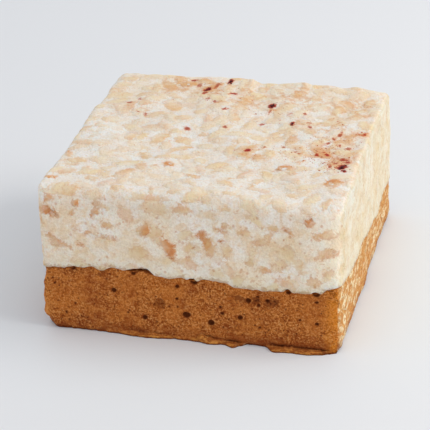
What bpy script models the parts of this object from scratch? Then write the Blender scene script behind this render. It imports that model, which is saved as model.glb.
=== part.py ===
"""Traybake square: puffed rice set in white marshmallow, on a layer of brown sponge cake.

Metres, +Z up. The origin is the middle of the base. +X runs to the right along the front cut
face and +Y runs from that face to the back. The two layers are one solid each, and the puffed
rice and the red crumbs that lie on the marshmallow are fused to it.
"""
import math
import random

import bmesh
import bpy
from mathutils import Matrix, Vector, noise

# The whole square: its knife cuts lean out a little towards the base
HALF_WIDTH = 0.0377
HEIGHT = 0.0378
FRONT_AT_BASE = -0.0386
FRONT_AT_TOP = -0.0357
BACK_AT_BASE = 0.0400
BACK_AT_TOP = 0.0380
CUT_WOBBLE = 0.00030
CUT_WAVE = 0.011

# The grid that both layers are built on
MIDDLE_CELLS = 20
EDGE_CELLS = (0.0009, 0.0021)

# Where the layers meet: the height along the front face, then how far the sponge thins out
MEETING_LINE = (
    (-0.0377, 0.0163), (-0.0290, 0.0166), (-0.0245, 0.0173), (-0.0220, 0.0165), (-0.0195, 0.0178),
    (-0.0160, 0.0171), (-0.0110, 0.0168), (-0.0050, 0.0159), (-0.0020, 0.0167), (0.0010, 0.0157),
    (0.0050, 0.0168), (0.0090, 0.0162), (0.0115, 0.0152), (0.0240, 0.0151), (0.0310, 0.0150),
    (0.0340, 0.0158), (0.0377, 0.0166),
)
THINNER_BACK_LEFT = 0.0030
THINNER_BACK_RIGHT = 0.0052
MEETING_FADE = 0.010
MEETING_WAVE = 0.009
MEETING_SWELL = 0.0009
LAYER_GAP = 0.0003
AIR_POCKET_X = -0.0120
AIR_POCKET_HALF_WIDTH = 0.0032
AIR_POCKET_HEIGHT = 0.0011
AIR_POCKET_DEPTH = 0.0040

# Sponge layer
SPONGE_OVERHANG = -0.0003
SPONGE_CORNER = 0.0014
SPONGE_ROWS = (0.0, 0.0005, 0.0013, 0.0019, 0.0055, 0.0095, 0.0125)
BASE_ROUNDING = 0.0009

# The skin under the front face: how far its edge stands out, or back, from the cut along x
SKIN_HEIGHT = 0.0014
SKIN_LINE = (
    (-0.0377, -0.0006), (-0.0327, -0.0011), (-0.0260, -0.0009), (-0.0200, -0.0005),
    (-0.0140, 0.0002), (-0.0094, 0.0004), (-0.0034, -0.0002), (0.0027, 0.0001), (0.0049, 0.0007),
    (0.0088, 0.0002), (0.0111, 0.0015), (0.0128, 0.0002), (0.0145, -0.0011), (0.0186, -0.0008),
    (0.0211, 0.0016), (0.0250, 0.0014), (0.0290, 0.0016), (0.0328, 0.0009), (0.0346, 0.0001),
    (0.0377, -0.0012),
)
CHIP_SIZE = 0.0045
CHIP_DEPTH = 0.0022

# Pores that show in the sponge: the large ones of the front face as x, z and radius
FRONT_PORES = (
    (-0.0194, 0.0112, 0.00065), (-0.0118, 0.0045, 0.00065), (-0.0012, 0.0063, 0.00090),
    (0.0051, 0.0047, 0.00085), (-0.0033, 0.0137, 0.00055), (0.0123, 0.0069, 0.00065),
    (0.0143, 0.0115, 0.00070), (0.0192, 0.0119, 0.00060), (0.0079, 0.0075, 0.00050),
    (0.0313, 0.0070, 0.00050), (-0.0080, 0.0086, 0.00150),
)
SIDE_PORES = 11
PORE_RADII = (0.00050, 0.00095)
PORE_SQUASH = 0.78
PORE_SINK = 0.25
PORE_FACE_CLEARANCE = 0.0030

# Marshmallow layer
CRISPY_CORNER = 0.0020
RIM_FRONT = 0.0032
RIM_OTHER = 0.0013
CRISPY_ROWS = (0.0, 0.25, 0.50, 0.75, 1.0)
TOP_WAVE = 0.013
TOP_SWELL = 0.0006
BACK_TOP_LINE = (
    (-0.0377, 0.0374), (-0.0350, 0.0380), (-0.0200, 0.0383), (-0.0060, 0.0388), (0.0000, 0.0387),
    (0.0026, 0.0375), (0.0070, 0.0378), (0.0136, 0.0387), (0.0180, 0.0379), (0.0225, 0.0381),
    (0.0255, 0.0378), (0.0292, 0.0383), (0.0330, 0.0375), (0.0377, 0.0372),
)
BACK_TOP_FADE = 0.0120

# Puffed rice: length, width and thickness of a grain, and how much of it stands proud
GRAIN_LENGTHS = (0.0048, 0.0070)
GRAIN_WIDTH = 0.0030
GRAIN_THICKNESS = 0.0025
GRAIN_SPACING = 0.0055
TOP_GRAINS = 126
SIDE_GRAINS = 16
TOP_PROUD = (0.00030, 0.00075)
SIDE_PROUD = (0.00025, 0.00050)
TOP_MARGIN = 0.0048
SIDE_MARGIN = 0.0036
GRAIN_SEED = 7

# Red crumbs on top: x, y and size of the ones that show from a step away
RED_CRUMBS = (
    (0.0328, -0.0103, 0.0024), (0.0337, -0.0133, 0.0015), (0.0325, -0.0063, 0.0015),
    (0.0279, -0.0039, 0.0020), (0.0255, -0.0037, 0.0014), (0.0084, 0.0240, 0.0023),
    (-0.0110, 0.0314, 0.0023), (-0.0160, 0.0361, 0.0015), (-0.0059, 0.0354, 0.0018),
    (-0.0034, 0.0300, 0.0014), (-0.0034, 0.0191, 0.0013), (0.0159, 0.0130, 0.0016),
    (0.0080, 0.0129, 0.0012), (0.0083, -0.0058, 0.0017), (-0.0104, 0.0061, 0.0013),
    (0.0348, 0.0097, 0.0014), (-0.0295, 0.0198, 0.0012), (0.0205, 0.0127, 0.0013),
)
CRUMB_FLATNESS = 0.55
CRUMB_SINK = 0.30
CRUMB_SEED = 23

# Material colours, linear
MARSHMALLOW_COLOUR = (0.78, 0.69, 0.55, 1.0)
SPONGE_COLOUR = (0.40, 0.17, 0.06, 1.0)


def clear_scene():
    for item in list(bpy.data.objects):
        bpy.data.objects.remove(item, do_unlink=True)


def make_material(name, colour, roughness):
    material = bpy.data.materials.new(name)
    material.use_nodes = True
    shader = material.node_tree.nodes["Principled BSDF"]
    shader.inputs["Base Color"].default_value = colour
    shader.inputs["Roughness"].default_value = roughness
    shader.inputs["Metallic"].default_value = 0.0
    material.diffuse_color = colour
    return material


def smooth(value):
    """An S-shaped rise from 0 to 1 as value goes from 0 to 1."""
    t = min(max(value, 0.0), 1.0)
    return t * t * (3.0 - 2.0 * t)


def along(points, x):
    """The height at x on a line drawn through points with soft bends."""
    for (x0, h0), (x1, h1) in zip(points, points[1:]):
        if x <= x1:
            return h0 + (h1 - h0) * smooth((x - x0) / (x1 - x0))
    return points[-1][1]


def swell(x, y, z, wave, size):
    """Soft random unevenness, up to about size either way."""
    return size * 1.6 * noise.noise(Vector((x / wave, y / wave, z / wave)))


# Heights


def meeting_height(x, y):
    """Top of the sponge: it follows the front line, then rolls and thins out to the back."""
    into = (y - FRONT_AT_BASE) / (BACK_AT_BASE - FRONT_AT_BASE)
    across = (x + HALF_WIDTH) / (2.0 * HALF_WIDTH)
    thinner = THINNER_BACK_LEFT + (THINNER_BACK_RIGHT - THINNER_BACK_LEFT) * across
    level = 0.5 * (MEETING_LINE[0][1] + MEETING_LINE[-1][1])
    near_front = math.exp(-((y - FRONT_AT_BASE) / MEETING_FADE) ** 2)
    front = along(MEETING_LINE, x)
    rolling = level + swell(x, y, 0.3, MEETING_WAVE, MEETING_SWELL)
    return near_front * front + (1.0 - near_front) * rolling - thinner * into ** 1.2


def underside_height(x, y):
    """Underside of the marshmallow: the sponge's top, lifted over the air pocket at the front."""
    beside = (x - AIR_POCKET_X) / AIR_POCKET_HALF_WIDTH
    inward = (y - FRONT_AT_BASE) / AIR_POCKET_DEPTH
    pocket = AIR_POCKET_HEIGHT * math.exp(-beside * beside - inward * inward)
    return meeting_height(x, y) + LAYER_GAP + pocket


def top_height(x, y):
    """Top of the marshmallow before its rim is rounded: rolling, with the back edge's line."""
    near_back = smooth((y - BACK_AT_TOP + BACK_TOP_FADE) / BACK_TOP_FADE)
    rolling = HEIGHT + swell(x, y, 0.7, TOP_WAVE, TOP_SWELL)
    return (1.0 - near_back) * rolling + near_back * along(BACK_TOP_LINE, x)


# Outline


def share_to_y(v, z):
    """The y at share v, from -1 at the front cut to 1 at the back cut, at height z."""
    rise = z / HEIGHT
    front = FRONT_AT_BASE + (FRONT_AT_TOP - FRONT_AT_BASE) * rise
    back = BACK_AT_BASE + (BACK_AT_TOP - BACK_AT_BASE) * rise
    return 0.5 * (front + back) + 0.5 * v * (back - front)


def corner_reach(u, v, radius):
    """How far a point is past the start of the rounding, along x and along y."""
    half_depth = 0.5 * (BACK_AT_BASE - FRONT_AT_BASE)
    past_x = max(radius - (1.0 - abs(u)) * HALF_WIDTH, 0.0)
    past_y = max(radius - (1.0 - abs(v)) * half_depth, 0.0)
    return past_x, past_y


def place(u, v, z, radius, overhang):
    """The point at shares u and v and height z, with rounded upright edges and uneven cuts."""
    x = u * HALF_WIDTH
    y = share_to_y(v, z)
    past_x, past_y = corner_reach(u, v, radius)
    past = math.hypot(past_x, past_y)
    if past > radius:
        x -= math.copysign(past_x * (1.0 - radius / past), u)
        y -= math.copysign(past_y * (1.0 - radius / past), v)
    proud = overhang + swell(x, y, z, CUT_WAVE, CUT_WOBBLE)
    if abs(u) == 1.0:
        x += proud * u
    if abs(v) == 1.0:
        y += proud * v
    return Vector((x, y, z))


def grid_shares(half):
    """Grid lines as shares of half, from -1 to 1, with narrow cells next to both edges."""
    edge = [0.0]
    for cell in EDGE_CELLS:
        edge.append(edge[-1] + cell)
    left = [-1.0 + step / half for step in edge]
    width = -2.0 * left[-1] / MIDDLE_CELLS
    middle = [left[-1] + width * i for i in range(1, MIDDLE_CELLS)]
    return left + middle + [-share for share in reversed(left)]


def rim_of(count):
    """The grid positions round the edge, once round, seen from above anticlockwise."""
    last = count - 1
    south = [(i, 0) for i in range(last)]
    east = [(last, j) for j in range(last)]
    north = [(i, last) for i in range(last, 0, -1)]
    west = [(0, j) for j in range(last, 0, -1)]
    return south + east + north + west


# Meshes


def add_sheet(bm, sheet, faces_up):
    """Both triangles of every cell of a grid of vertices, split alike above and below."""
    for i in range(len(sheet) - 1):
        for j in range(len(sheet) - 1):
            a, b = sheet[i][j], sheet[i + 1][j]
            c, d = sheet[i + 1][j + 1], sheet[i][j + 1]
            for triangle in ((a, b, c), (a, c, d)):
                bm.faces.new(triangle if faces_up else reversed(triangle))


def add_band(bm, lower, upper):
    """A ring of triangles between two closed loops, facing out."""
    count = len(lower)
    for k in range(count):
        a, b = lower[k], lower[(k + 1) % count]
        c, d = upper[(k + 1) % count], upper[k]
        bm.faces.new((a, b, c))
        bm.faces.new((a, c, d))


def finish_object(bm, name, material):
    mesh = bpy.data.meshes.new(name)
    bm.normal_update()
    bm.to_mesh(mesh)
    bm.free()
    mesh.materials.append(material)
    item = bpy.data.objects.new(name, mesh)
    bpy.context.scene.collection.objects.link(item)
    return item


def add_grid(bm, shares_x, shares_y, maker):
    return [[bm.verts.new(maker(u, v)) for v in shares_y] for u in shares_x]


def sponge_point(u, v, z):
    """A point of the sponge's side, with the rounded base, the lifting skin and the chip."""
    point = place(u, v, z, SPONGE_CORNER, SPONGE_OVERHANG)
    low = max(1.0 - z / SKIN_HEIGHT, 0.0)
    inset = BASE_ROUNDING * low * low
    if abs(u) == 1.0:
        point.x -= inset * u
    if abs(v) == 1.0:
        point.y -= inset * v
    if v == -1.0 and z < SKIN_HEIGHT:
        point.y = FRONT_AT_BASE - along(SKIN_LINE, point.x)
    corner = Vector((-HALF_WIDTH, FRONT_AT_BASE, 0.0))
    chip = CHIP_DEPTH * smooth(1.0 - (point - corner).length / CHIP_SIZE)
    return point + Vector((chip, 0.4 * chip, 0.0))


def make_sponge(material):
    """The sponge: a flat base, sides in rows, and a rolling top."""
    shares_x = grid_shares(HALF_WIDTH)
    shares_y = grid_shares(0.5 * (BACK_AT_BASE - FRONT_AT_BASE))
    bm = bmesh.new()

    def top_point(u, v):
        rough = place(u, v, SPONGE_ROWS[-1], SPONGE_CORNER, SPONGE_OVERHANG)
        point = place(u, v, meeting_height(rough.x, rough.y), SPONGE_CORNER, SPONGE_OVERHANG)
        point.z = meeting_height(point.x, point.y)
        return point

    top = add_grid(bm, shares_x, shares_y, top_point)
    add_sheet(bm, top, True)
    rim = rim_of(len(shares_x))
    upper = [top[i][j] for i, j in rim]
    for z in reversed(SPONGE_ROWS):
        lower = []
        for i, j in rim:
            height = min(z, top[i][j].co.z * z / SPONGE_ROWS[-1] * 0.8) if z else 0.0
            lower.append(bm.verts.new(sponge_point(shares_x[i], shares_y[j], height)))
        add_band(bm, lower, upper)
        upper = lower
    base = bm.faces.new(list(reversed(upper)))
    bmesh.ops.triangulate(bm, faces=[base])
    return finish_object(bm, "sponge_base", material)


def rim_drop(u, v):
    """How far the rounded rim lies below the top at shares u and v: the front rim is rounder."""
    radius_y = RIM_FRONT if v < 0.0 else RIM_OTHER
    past_x = corner_reach(u, v, RIM_OTHER)[0] / RIM_OTHER
    past_y = corner_reach(u, v, radius_y)[1] / radius_y
    past = min(max(past_x, past_y), 1.0)
    if past == 0.0:
        return 0.0
    radius = RIM_OTHER + (radius_y - RIM_OTHER) * past_y / (past_x + past_y)
    return radius * (1.0 - math.sqrt(1.0 - past * past))


def crispy_top(u, v):
    point = place(u, v, HEIGHT - rim_drop(u, v), CRISPY_CORNER, 0.0)
    point.z = top_height(point.x, point.y) - rim_drop(u, v)
    return point


def crispy_underside(u, v):
    rough = place(u, v, MEETING_LINE[0][1], CRISPY_CORNER, 0.0)
    point = place(u, v, underside_height(rough.x, rough.y), CRISPY_CORNER, 0.0)
    point.z = underside_height(point.x, point.y)
    return point


def make_crispy(material):
    """The marshmallow layer without its grains: underside, sides in rows, and rounded top."""
    shares_x = grid_shares(HALF_WIDTH)
    shares_y = grid_shares(0.5 * (BACK_AT_BASE - FRONT_AT_BASE))
    bm = bmesh.new()
    underside = add_grid(bm, shares_x, shares_y, crispy_underside)
    top = add_grid(bm, shares_x, shares_y, crispy_top)
    add_sheet(bm, underside, False)
    add_sheet(bm, top, True)
    rim = rim_of(len(shares_x))
    lower = [underside[i][j] for i, j in rim]
    for share in CRISPY_ROWS[1:-1]:
        upper = []
        for i, j in rim:
            height = underside[i][j].co.z + share * (top[i][j].co.z - underside[i][j].co.z)
            point = place(shares_x[i], shares_y[j], height, CRISPY_CORNER, 0.0)
            upper.append(bm.verts.new(point))
        add_band(bm, lower, upper)
        lower = upper
    add_band(bm, lower, [top[i][j] for i, j in rim])
    return finish_object(bm, "crispy_layer", material)


# Faces of the square, for what sits on them


def cut_point(face, along_share, z, radius):
    """A point on one of the four cuts and the direction out of it."""
    u, v, out = {
        "front": (along_share, -1.0, Vector((0.0, -1.0, 0.0))),
        "right": (1.0, along_share, Vector((1.0, 0.0, 0.0))),
        "back": (along_share, 1.0, Vector((0.0, 1.0, 0.0))),
        "left": (-1.0, along_share, Vector((-1.0, 0.0, 0.0))),
    }[face]
    overhang = SPONGE_OVERHANG if radius == SPONGE_CORNER else 0.0
    return place(u, v, z, radius, overhang), out


def outward_frame(out, turn):
    """Axes with the third one pointing out, turned about it."""
    return out.to_track_quat("Z", "X").to_matrix().to_4x4() @ Matrix.Rotation(turn, 4, "Z")


def add_cutter(collection, name, matrix, size, segments, rings):
    """A low ellipsoid with three sizes, ready for a Boolean."""
    bm = bmesh.new()
    bmesh.ops.create_uvsphere(bm, u_segments=segments, v_segments=rings, radius=0.5)
    bmesh.ops.transform(bm, matrix=matrix @ Matrix.Diagonal((*size, 1.0)), verts=bm.verts)
    mesh = bpy.data.meshes.new(name)
    bm.to_mesh(mesh)
    bm.free()
    item = bpy.data.objects.new(name, mesh)
    item.hide_render = True
    item.display_type = "WIRE"
    collection.objects.link(item)


def new_collection(name):
    collection = bpy.data.collections.new(name)
    bpy.context.scene.collection.children.link(collection)
    return collection


def apply_boolean(item, collection, operation, solver):
    """Joins or cuts with everything in the collection, then removes the collection."""
    modifier = item.modifiers.new(operation.title(), "BOOLEAN")
    modifier.operation = operation
    modifier.solver = solver
    modifier.operand_type = "COLLECTION"
    modifier.collection = collection
    shaped = item.evaluated_get(bpy.context.evaluated_depsgraph_get())
    mesh = bpy.data.meshes.new_from_object(shaped)
    old = item.data
    item.modifiers.clear()
    item.data = mesh
    mesh.name = item.name
    bpy.data.meshes.remove(old)
    for part in list(collection.objects):
        bpy.data.objects.remove(part, do_unlink=True)
    bpy.data.collections.remove(collection)


# Pores in the sponge


def add_pore(collection, face, along_share, z, radius, draw):
    point, out = cut_point(face, along_share, z, SPONGE_CORNER)
    matrix = Matrix.Translation(point - out * radius * PORE_SINK)
    matrix @= outward_frame(out, draw.uniform(0.0, math.pi))
    size = (2.0 * radius, 2.0 * radius * PORE_SQUASH, 2.0 * radius)
    add_cutter(collection, "pore", matrix, size, 6, 4)


def cut_pores(sponge):
    """Round holes in the four cuts: the large ones of the front, and as many on each other."""
    draw = random.Random(GRAIN_SEED)
    pores = new_collection("pores")
    for x, z, radius in FRONT_PORES:
        add_pore(pores, "front", x / HALF_WIDTH, z, radius, draw)
    for face in ("right", "back", "left"):
        low = PORE_FACE_CLEARANCE
        high = MEETING_LINE[0][1] - THINNER_BACK_RIGHT - PORE_FACE_CLEARANCE
        for k in range(SIDE_PORES):
            share = -0.9 + 1.8 * (k + draw.uniform(0.2, 0.8)) / SIDE_PORES
            add_pore(pores, face, share, draw.uniform(low, high), draw.uniform(*PORE_RADII), draw)
    apply_boolean(sponge, pores, "DIFFERENCE", "MANIFOLD")


# Puffed rice and red crumbs on the marshmallow


def add_grain(collection, point, out, proud, draw):
    """One puffed grain, lying along the surface with most of it sunk in."""
    matrix = Matrix.Translation(point + out * (proud - 0.5 * GRAIN_THICKNESS))
    matrix @= outward_frame(out, draw.uniform(0.0, math.pi))
    length = draw.uniform(*GRAIN_LENGTHS)
    add_cutter(collection, "grain", matrix, (length, GRAIN_WIDTH, GRAIN_THICKNESS), 5, 4)


def spread_points(draw, wanted, half_a, half_b, spacing):
    """Up to wanted points in a box, drawn at random but never closer than spacing."""
    points = []
    for _ in range(wanted * 60):
        a, b = draw.uniform(-half_a, half_a), draw.uniform(-half_b, half_b)
        if all(math.hypot(a - c, b - d) >= spacing for c, d in points):
            points.append((a, b))
        if len(points) == wanted:
            break
    return points


def on_top(x, y):
    """The point of the rounded top above x and y."""
    middle = 0.5 * (FRONT_AT_TOP + BACK_AT_TOP)
    half_depth = 0.5 * (BACK_AT_TOP - FRONT_AT_TOP)
    drop = rim_drop(x / HALF_WIDTH, (y - middle) / half_depth)
    return Vector((x, y, top_height(x, y) - drop))


def add_top_grains(collection, draw):
    middle = 0.5 * (FRONT_AT_TOP + BACK_AT_TOP)
    half_depth = 0.5 * (BACK_AT_TOP - FRONT_AT_TOP) - TOP_MARGIN
    half_width = HALF_WIDTH - TOP_MARGIN
    for x, y in spread_points(draw, TOP_GRAINS, half_width, half_depth, GRAIN_SPACING):
        point = on_top(x, y + middle)
        add_grain(collection, point, Vector((0.0, 0.0, 1.0)), draw.uniform(*TOP_PROUD), draw)


def add_side_grains(collection, draw):
    low = MEETING_LINE[0][1] + SIDE_MARGIN
    high = HEIGHT - RIM_FRONT - 0.5 * GRAIN_WIDTH
    middle = 0.5 * (low + high)
    half_run = HALF_WIDTH - 2.0 * SIDE_MARGIN
    for face in ("front", "right", "back", "left"):
        places = spread_points(draw, SIDE_GRAINS, half_run, 0.5 * (high - low), GRAIN_SPACING)
        for run, rise in places:
            point, out = cut_point(face, run / HALF_WIDTH, middle + rise, CRISPY_CORNER)
            add_grain(collection, point, out, draw.uniform(*SIDE_PROUD), draw)


def add_red_crumbs(collection):
    """Angular crumbs standing on the top, each a jittered ball of twenty faces."""
    draw = random.Random(CRUMB_SEED)
    for x, y, size in RED_CRUMBS:
        bm = bmesh.new()
        bmesh.ops.create_icosphere(bm, subdivisions=1, radius=0.5 * size)
        for vert in bm.verts:
            vert.co *= draw.uniform(0.75, 1.1)
            vert.co.z *= CRUMB_FLATNESS
        lift = size * CRUMB_FLATNESS * (0.5 - CRUMB_SINK)
        bmesh.ops.translate(bm, vec=on_top(x, y) + Vector((0.0, 0.0, lift)), verts=bm.verts)
        mesh = bpy.data.meshes.new("crumb")
        bm.to_mesh(mesh)
        bm.free()
        collection.objects.link(bpy.data.objects.new("crumb", mesh))


def fuse_toppings(crispy):
    """One union of the marshmallow with its grains and the crumbs on it."""
    draw = random.Random(GRAIN_SEED)
    grains = new_collection("grains")
    add_top_grains(grains, draw)
    add_side_grains(grains, draw)
    add_red_crumbs(grains)
    apply_boolean(crispy, grains, "UNION", "MANIFOLD")


def centre_over_origin(items):
    """Moves the layers together so that the origin is the middle of the base of their box."""
    points = [vert.co for item in items for vert in item.data.vertices]
    low = Vector(min(point[k] for point in points) for k in range(3))
    high = Vector(max(point[k] for point in points) for k in range(3))
    shift = Vector((-0.5 * (low.x + high.x), -0.5 * (low.y + high.y), -low.z))
    for item in items:
        item.data.transform(Matrix.Translation(shift))


def main():
    clear_scene()
    sponge = make_sponge(make_material("brown_sponge", SPONGE_COLOUR, 0.85))
    crispy = make_crispy(make_material("white_marshmallow", MARSHMALLOW_COLOUR, 0.6))
    cut_pores(sponge)
    fuse_toppings(crispy)
    centre_over_origin((sponge, crispy))


main()
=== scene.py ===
"""The looks of a traybake square: puffed rice in white marshmallow on brown sponge cake.

Metres, +Z up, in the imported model's frame: the origin is the middle of the base, +X runs to the
right along the front cut face and +Y runs from that face to the back. Both layers are made again
from the sizes that the solids have, as fine meshes with the relief of grains, crumb and pores.
"""
import math
import random

import bmesh
import bpy
import numpy as np
from mathutils import Euler, Matrix, Vector, kdtree, noise
from mathutils.bvhtree import BVHTree


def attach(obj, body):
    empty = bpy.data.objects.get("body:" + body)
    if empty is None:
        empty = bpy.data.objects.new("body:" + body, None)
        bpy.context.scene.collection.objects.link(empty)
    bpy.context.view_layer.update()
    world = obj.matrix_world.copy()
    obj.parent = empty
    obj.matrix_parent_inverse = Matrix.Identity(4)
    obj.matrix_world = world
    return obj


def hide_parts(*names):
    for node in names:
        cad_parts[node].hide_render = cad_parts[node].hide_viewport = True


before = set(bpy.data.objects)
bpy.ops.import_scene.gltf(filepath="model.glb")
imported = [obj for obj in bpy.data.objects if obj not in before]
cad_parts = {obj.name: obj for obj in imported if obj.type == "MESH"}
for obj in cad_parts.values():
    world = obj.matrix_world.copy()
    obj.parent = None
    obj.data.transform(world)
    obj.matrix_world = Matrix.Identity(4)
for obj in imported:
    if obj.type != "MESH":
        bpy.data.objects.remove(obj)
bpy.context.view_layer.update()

# Sizes that the solids are built from
HALF_WIDTH = 0.0377
HEIGHT = 0.0378
FRONT_AT_BASE = -0.0386
FRONT_AT_TOP = -0.0357
BACK_AT_BASE = 0.0400
BACK_AT_TOP = 0.0380
HALF_DEPTH = 0.5 * (BACK_AT_BASE - FRONT_AT_BASE)
CUT_WOBBLE = 0.00030
CUT_WAVE = 0.011
MEETING_LINE = (
    (-0.0377, 0.0163), (-0.0290, 0.0166), (-0.0245, 0.0173), (-0.0220, 0.0165), (-0.0195, 0.0178),
    (-0.0160, 0.0171), (-0.0110, 0.0168), (-0.0050, 0.0159), (-0.0020, 0.0167), (0.0010, 0.0157),
    (0.0050, 0.0168), (0.0090, 0.0162), (0.0115, 0.0152), (0.0240, 0.0151), (0.0310, 0.0150),
    (0.0340, 0.0158), (0.0377, 0.0166),
)
MEETING_AT_LEFT = MEETING_LINE[0][1]
MEETING_AT_RIGHT = MEETING_LINE[-1][1]
THINNER_BACK_LEFT = 0.0030
THINNER_BACK_RIGHT = 0.0052
MEETING_FADE = 0.010
MEETING_WAVE = 0.009
MEETING_SWELL = 0.0009
SPONGE_OVERHANG = -0.0003
SPONGE_CORNER = 0.0014
BASE_ROUNDING = 0.0009
SKIN_HEIGHT = 0.0014
SKIN_LINE = (
    (-0.0377, -0.0006), (-0.0327, -0.0011), (-0.0260, -0.0009), (-0.0200, -0.0005),
    (-0.0140, 0.0002), (-0.0094, 0.0004), (-0.0034, -0.0002), (0.0027, 0.0001), (0.0049, 0.0007),
    (0.0088, 0.0002), (0.0111, 0.0015), (0.0128, 0.0002), (0.0145, -0.0011), (0.0186, -0.0008),
    (0.0211, 0.0016), (0.0250, 0.0014), (0.0290, 0.0016), (0.0328, 0.0009), (0.0346, 0.0001),
    (0.0377, -0.0012),
)
CHIP_SIZE = 0.0045
CHIP_DEPTH = 0.0022
CRISPY_CORNER = 0.0020
RIM_FRONT = 0.0032
RIM_OTHER = 0.0013
TOP_WAVE = 0.013
TOP_SWELL = 0.0006
BACK_TOP_LINE = (
    (-0.0377, 0.0374), (-0.0350, 0.0380), (-0.0200, 0.0383), (-0.0060, 0.0388), (0.0000, 0.0387),
    (0.0026, 0.0375), (0.0070, 0.0378), (0.0136, 0.0387), (0.0180, 0.0379), (0.0225, 0.0381),
    (0.0255, 0.0378), (0.0292, 0.0383), (0.0330, 0.0375), (0.0377, 0.0372),
)
BACK_TOP_FADE = 0.0120

# Where the fine meshes depart a little from the solids: the meeting line lies higher, most by the
# front right corner, where the marshmallow's cut also bends back, and the skin has a ragged top
MEETING_LIFT = 0.00045
CORNER_LIFT = 0.0009
CORNER_LIFT_SPAN = (0.0325, 0.0343)
BEND_FROM = 0.0275
BEND_DEPTH = 0.0026
BEND_REACH = 0.0120
BEND_POWER = 2.2
BEND_FOOT = 0.0040
SKIN_TOP_LINE = (
    (-0.0377, 0.0008), (-0.0250, 0.0007), (-0.0150, 0.0010), (-0.0060, 0.0008), (0.0010, 0.0007),
    (0.0030, 0.0018), (0.0045, 0.0014), (0.0070, 0.0009), (0.0112, 0.0006), (0.0128, 0.0004),
    (0.0170, 0.0004), (0.0186, 0.0007), (0.0260, 0.0008), (0.0320, 0.0006), (0.0335, 0.0003),
    (0.0377, 0.0003),
)
SKIN_STEP = (-0.0002, 0.0003)
FLAP_GAP = 0.00030
FLAP_GAP_LIFT = 0.00035

# The four cuts, anticlockwise from above
FACES = ("front", "right", "back", "left")

# Random unevenness in layers of height, wave and seed: heights are in metres, or shares where
# they warp an outline or break up a line
MEETING_UNEVEN = ((0.00036, 0.0020, 5), (0.00016, 0.0009, 6))
SKIN_TOP_UNEVEN = ((0.00018, 0.0012, 72),)
SKIN_EDGE_UNEVEN = ((0.00022, 0.0011, 71),)
FILM_UNEVEN = ((0.00016, 0.0052, 3), (0.00011, 0.0021, 4), (0.00006, 0.0009, 8))
CRUMB_UNEVEN = ((0.00013, 0.0031, 51), (0.00008, 0.0012, 52), (0.00007, 0.0006, 53))
CORNER_UNEVEN = ((0.00040, 0.0026, 54), (0.00034, 0.0011, 55))
CRACK_UNEVEN = ((0.0005, 0.0024, 42), (0.0004, 0.0011, 43))
CRACK_BREAKS = ((0.40, 0.0013, 44),)
UNDER_SHADE_BREAKS = ((0.40, 0.0024, 45),)
SKIN_BREAKS = ((0.45, 0.0020, 73),)
GRAIN_UNEVEN = ((0.15, 0.0021, 17), (0.09, 0.0010, 18))
SPOT_UNEVEN = ((0.22, 0.0009, 37),)

# Mesh fineness
CRISPY_CELL = 0.00037
SPONGE_CELL = 0.00030
UNDERCUT_STEPS = (0.0005, 0.0012, 0.0025, 0.0045)
LAYER_OVERLAP = 0.00015

# Air pockets between the layers at the front: x, half width, height above the sponge
AIR_POCKETS = (
    (-0.0297, 0.0014, 0.00069), (-0.0121, 0.0031, 0.00184), (0.0008, 0.0009, 0.00115),
    (0.0245, 0.0008, 0.00092), (0.0313, 0.0009, 0.00092),
)
AIR_POCKET_DEPTH = 0.0024

# Puffed rice: sizes and spacing of the grains
GRAIN_LENGTHS = (0.0046, 0.0068)
GRAIN_WIDTHS = (0.0024, 0.0033)
GRAIN_BEND = 0.22
GRAIN_BEND_MIDDLE = 0.4
GRAIN_SEED = 41
TOP_SPACING = 0.0047
CUT_SPACING = 0.0048
GRAIN_ROW_SHARE = 0.85
GRAIN_JITTER = 0.45
GRAIN_CLEARANCE = 0.0034
TOP_TURN = 1.57
CUT_TURN = 0.9
CUT_LENGTH_SHARES = (0.35, 0.95)
CUT_WIDTH_SHARES = (0.5, 1.0)
MOSTLY_PALE = 1.5
MOSTLY_VEILED = 1.2

# How the grains show: the soft edge, the film over one side, the change of tone across
GRAIN_FADE = 0.0016
GRAIN_FACING = 0.45
GRAIN_OVERLAP_EDGE = 0.0002
GRAIN_BARE_RANK = 0.01
GRAIN_VEIL = 0.30
GRAIN_SHADE = 0.13
TOP_GRAIN_RELIEF = 0.00014
CUT_GRAIN_RELIEF = 0.00016
CUT_HOLLOW_WAVE = 0.005
CUT_HOLLOW_SEED = 23
CUT_HOLLOW = -0.6
BARE_CUT_BOOST = 1.4

# Bare grains that are pieces of their own: how far they rise, sink and keep from the rim
BARE_SHOW = 0.88
BARE_DOME = 0.00030
BARE_PROUD = 0.00008
BARE_MARGIN = 0.0040
BARE_SHRINK = 0.72

# Small bubbles in the cuts, and what all round hollows share
CUT_PITS = 110
CUT_PIT_RADII = (0.00012, 0.00036)
PIT_RUN = 0.95
PIT_BELOW_TOP = 0.003
PIT_BELOW_MEETING = 0.002
PIT_SHADES = (0.3, 1.0)
PIT_DEPTH_SHARE = 0.35
SPOT_FADE = 0.0004
SPOT_FACING = 0.5
SPOT_DEEPEST = 0.0010

# Where the surface counts as the top, as the rim, as turned to the right, as lit through from
# the right by a painted glow at the right ends of the cuts, and as close above the sponge
TOP_FACING = (0.30, 0.80)
RIM_HEIGHTS = (0.0290, 0.0372)
TURNED_RIGHT = (0.35, 0.80)
PAINTED_GLOW_FROM = 0.0270
PAINTED_GLOW = 0.32
ABOVE_SPONGE = 0.004

# The lists of grains, clear places, crumbs, tinges and dust are in millimetres
MM = 0.001

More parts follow.
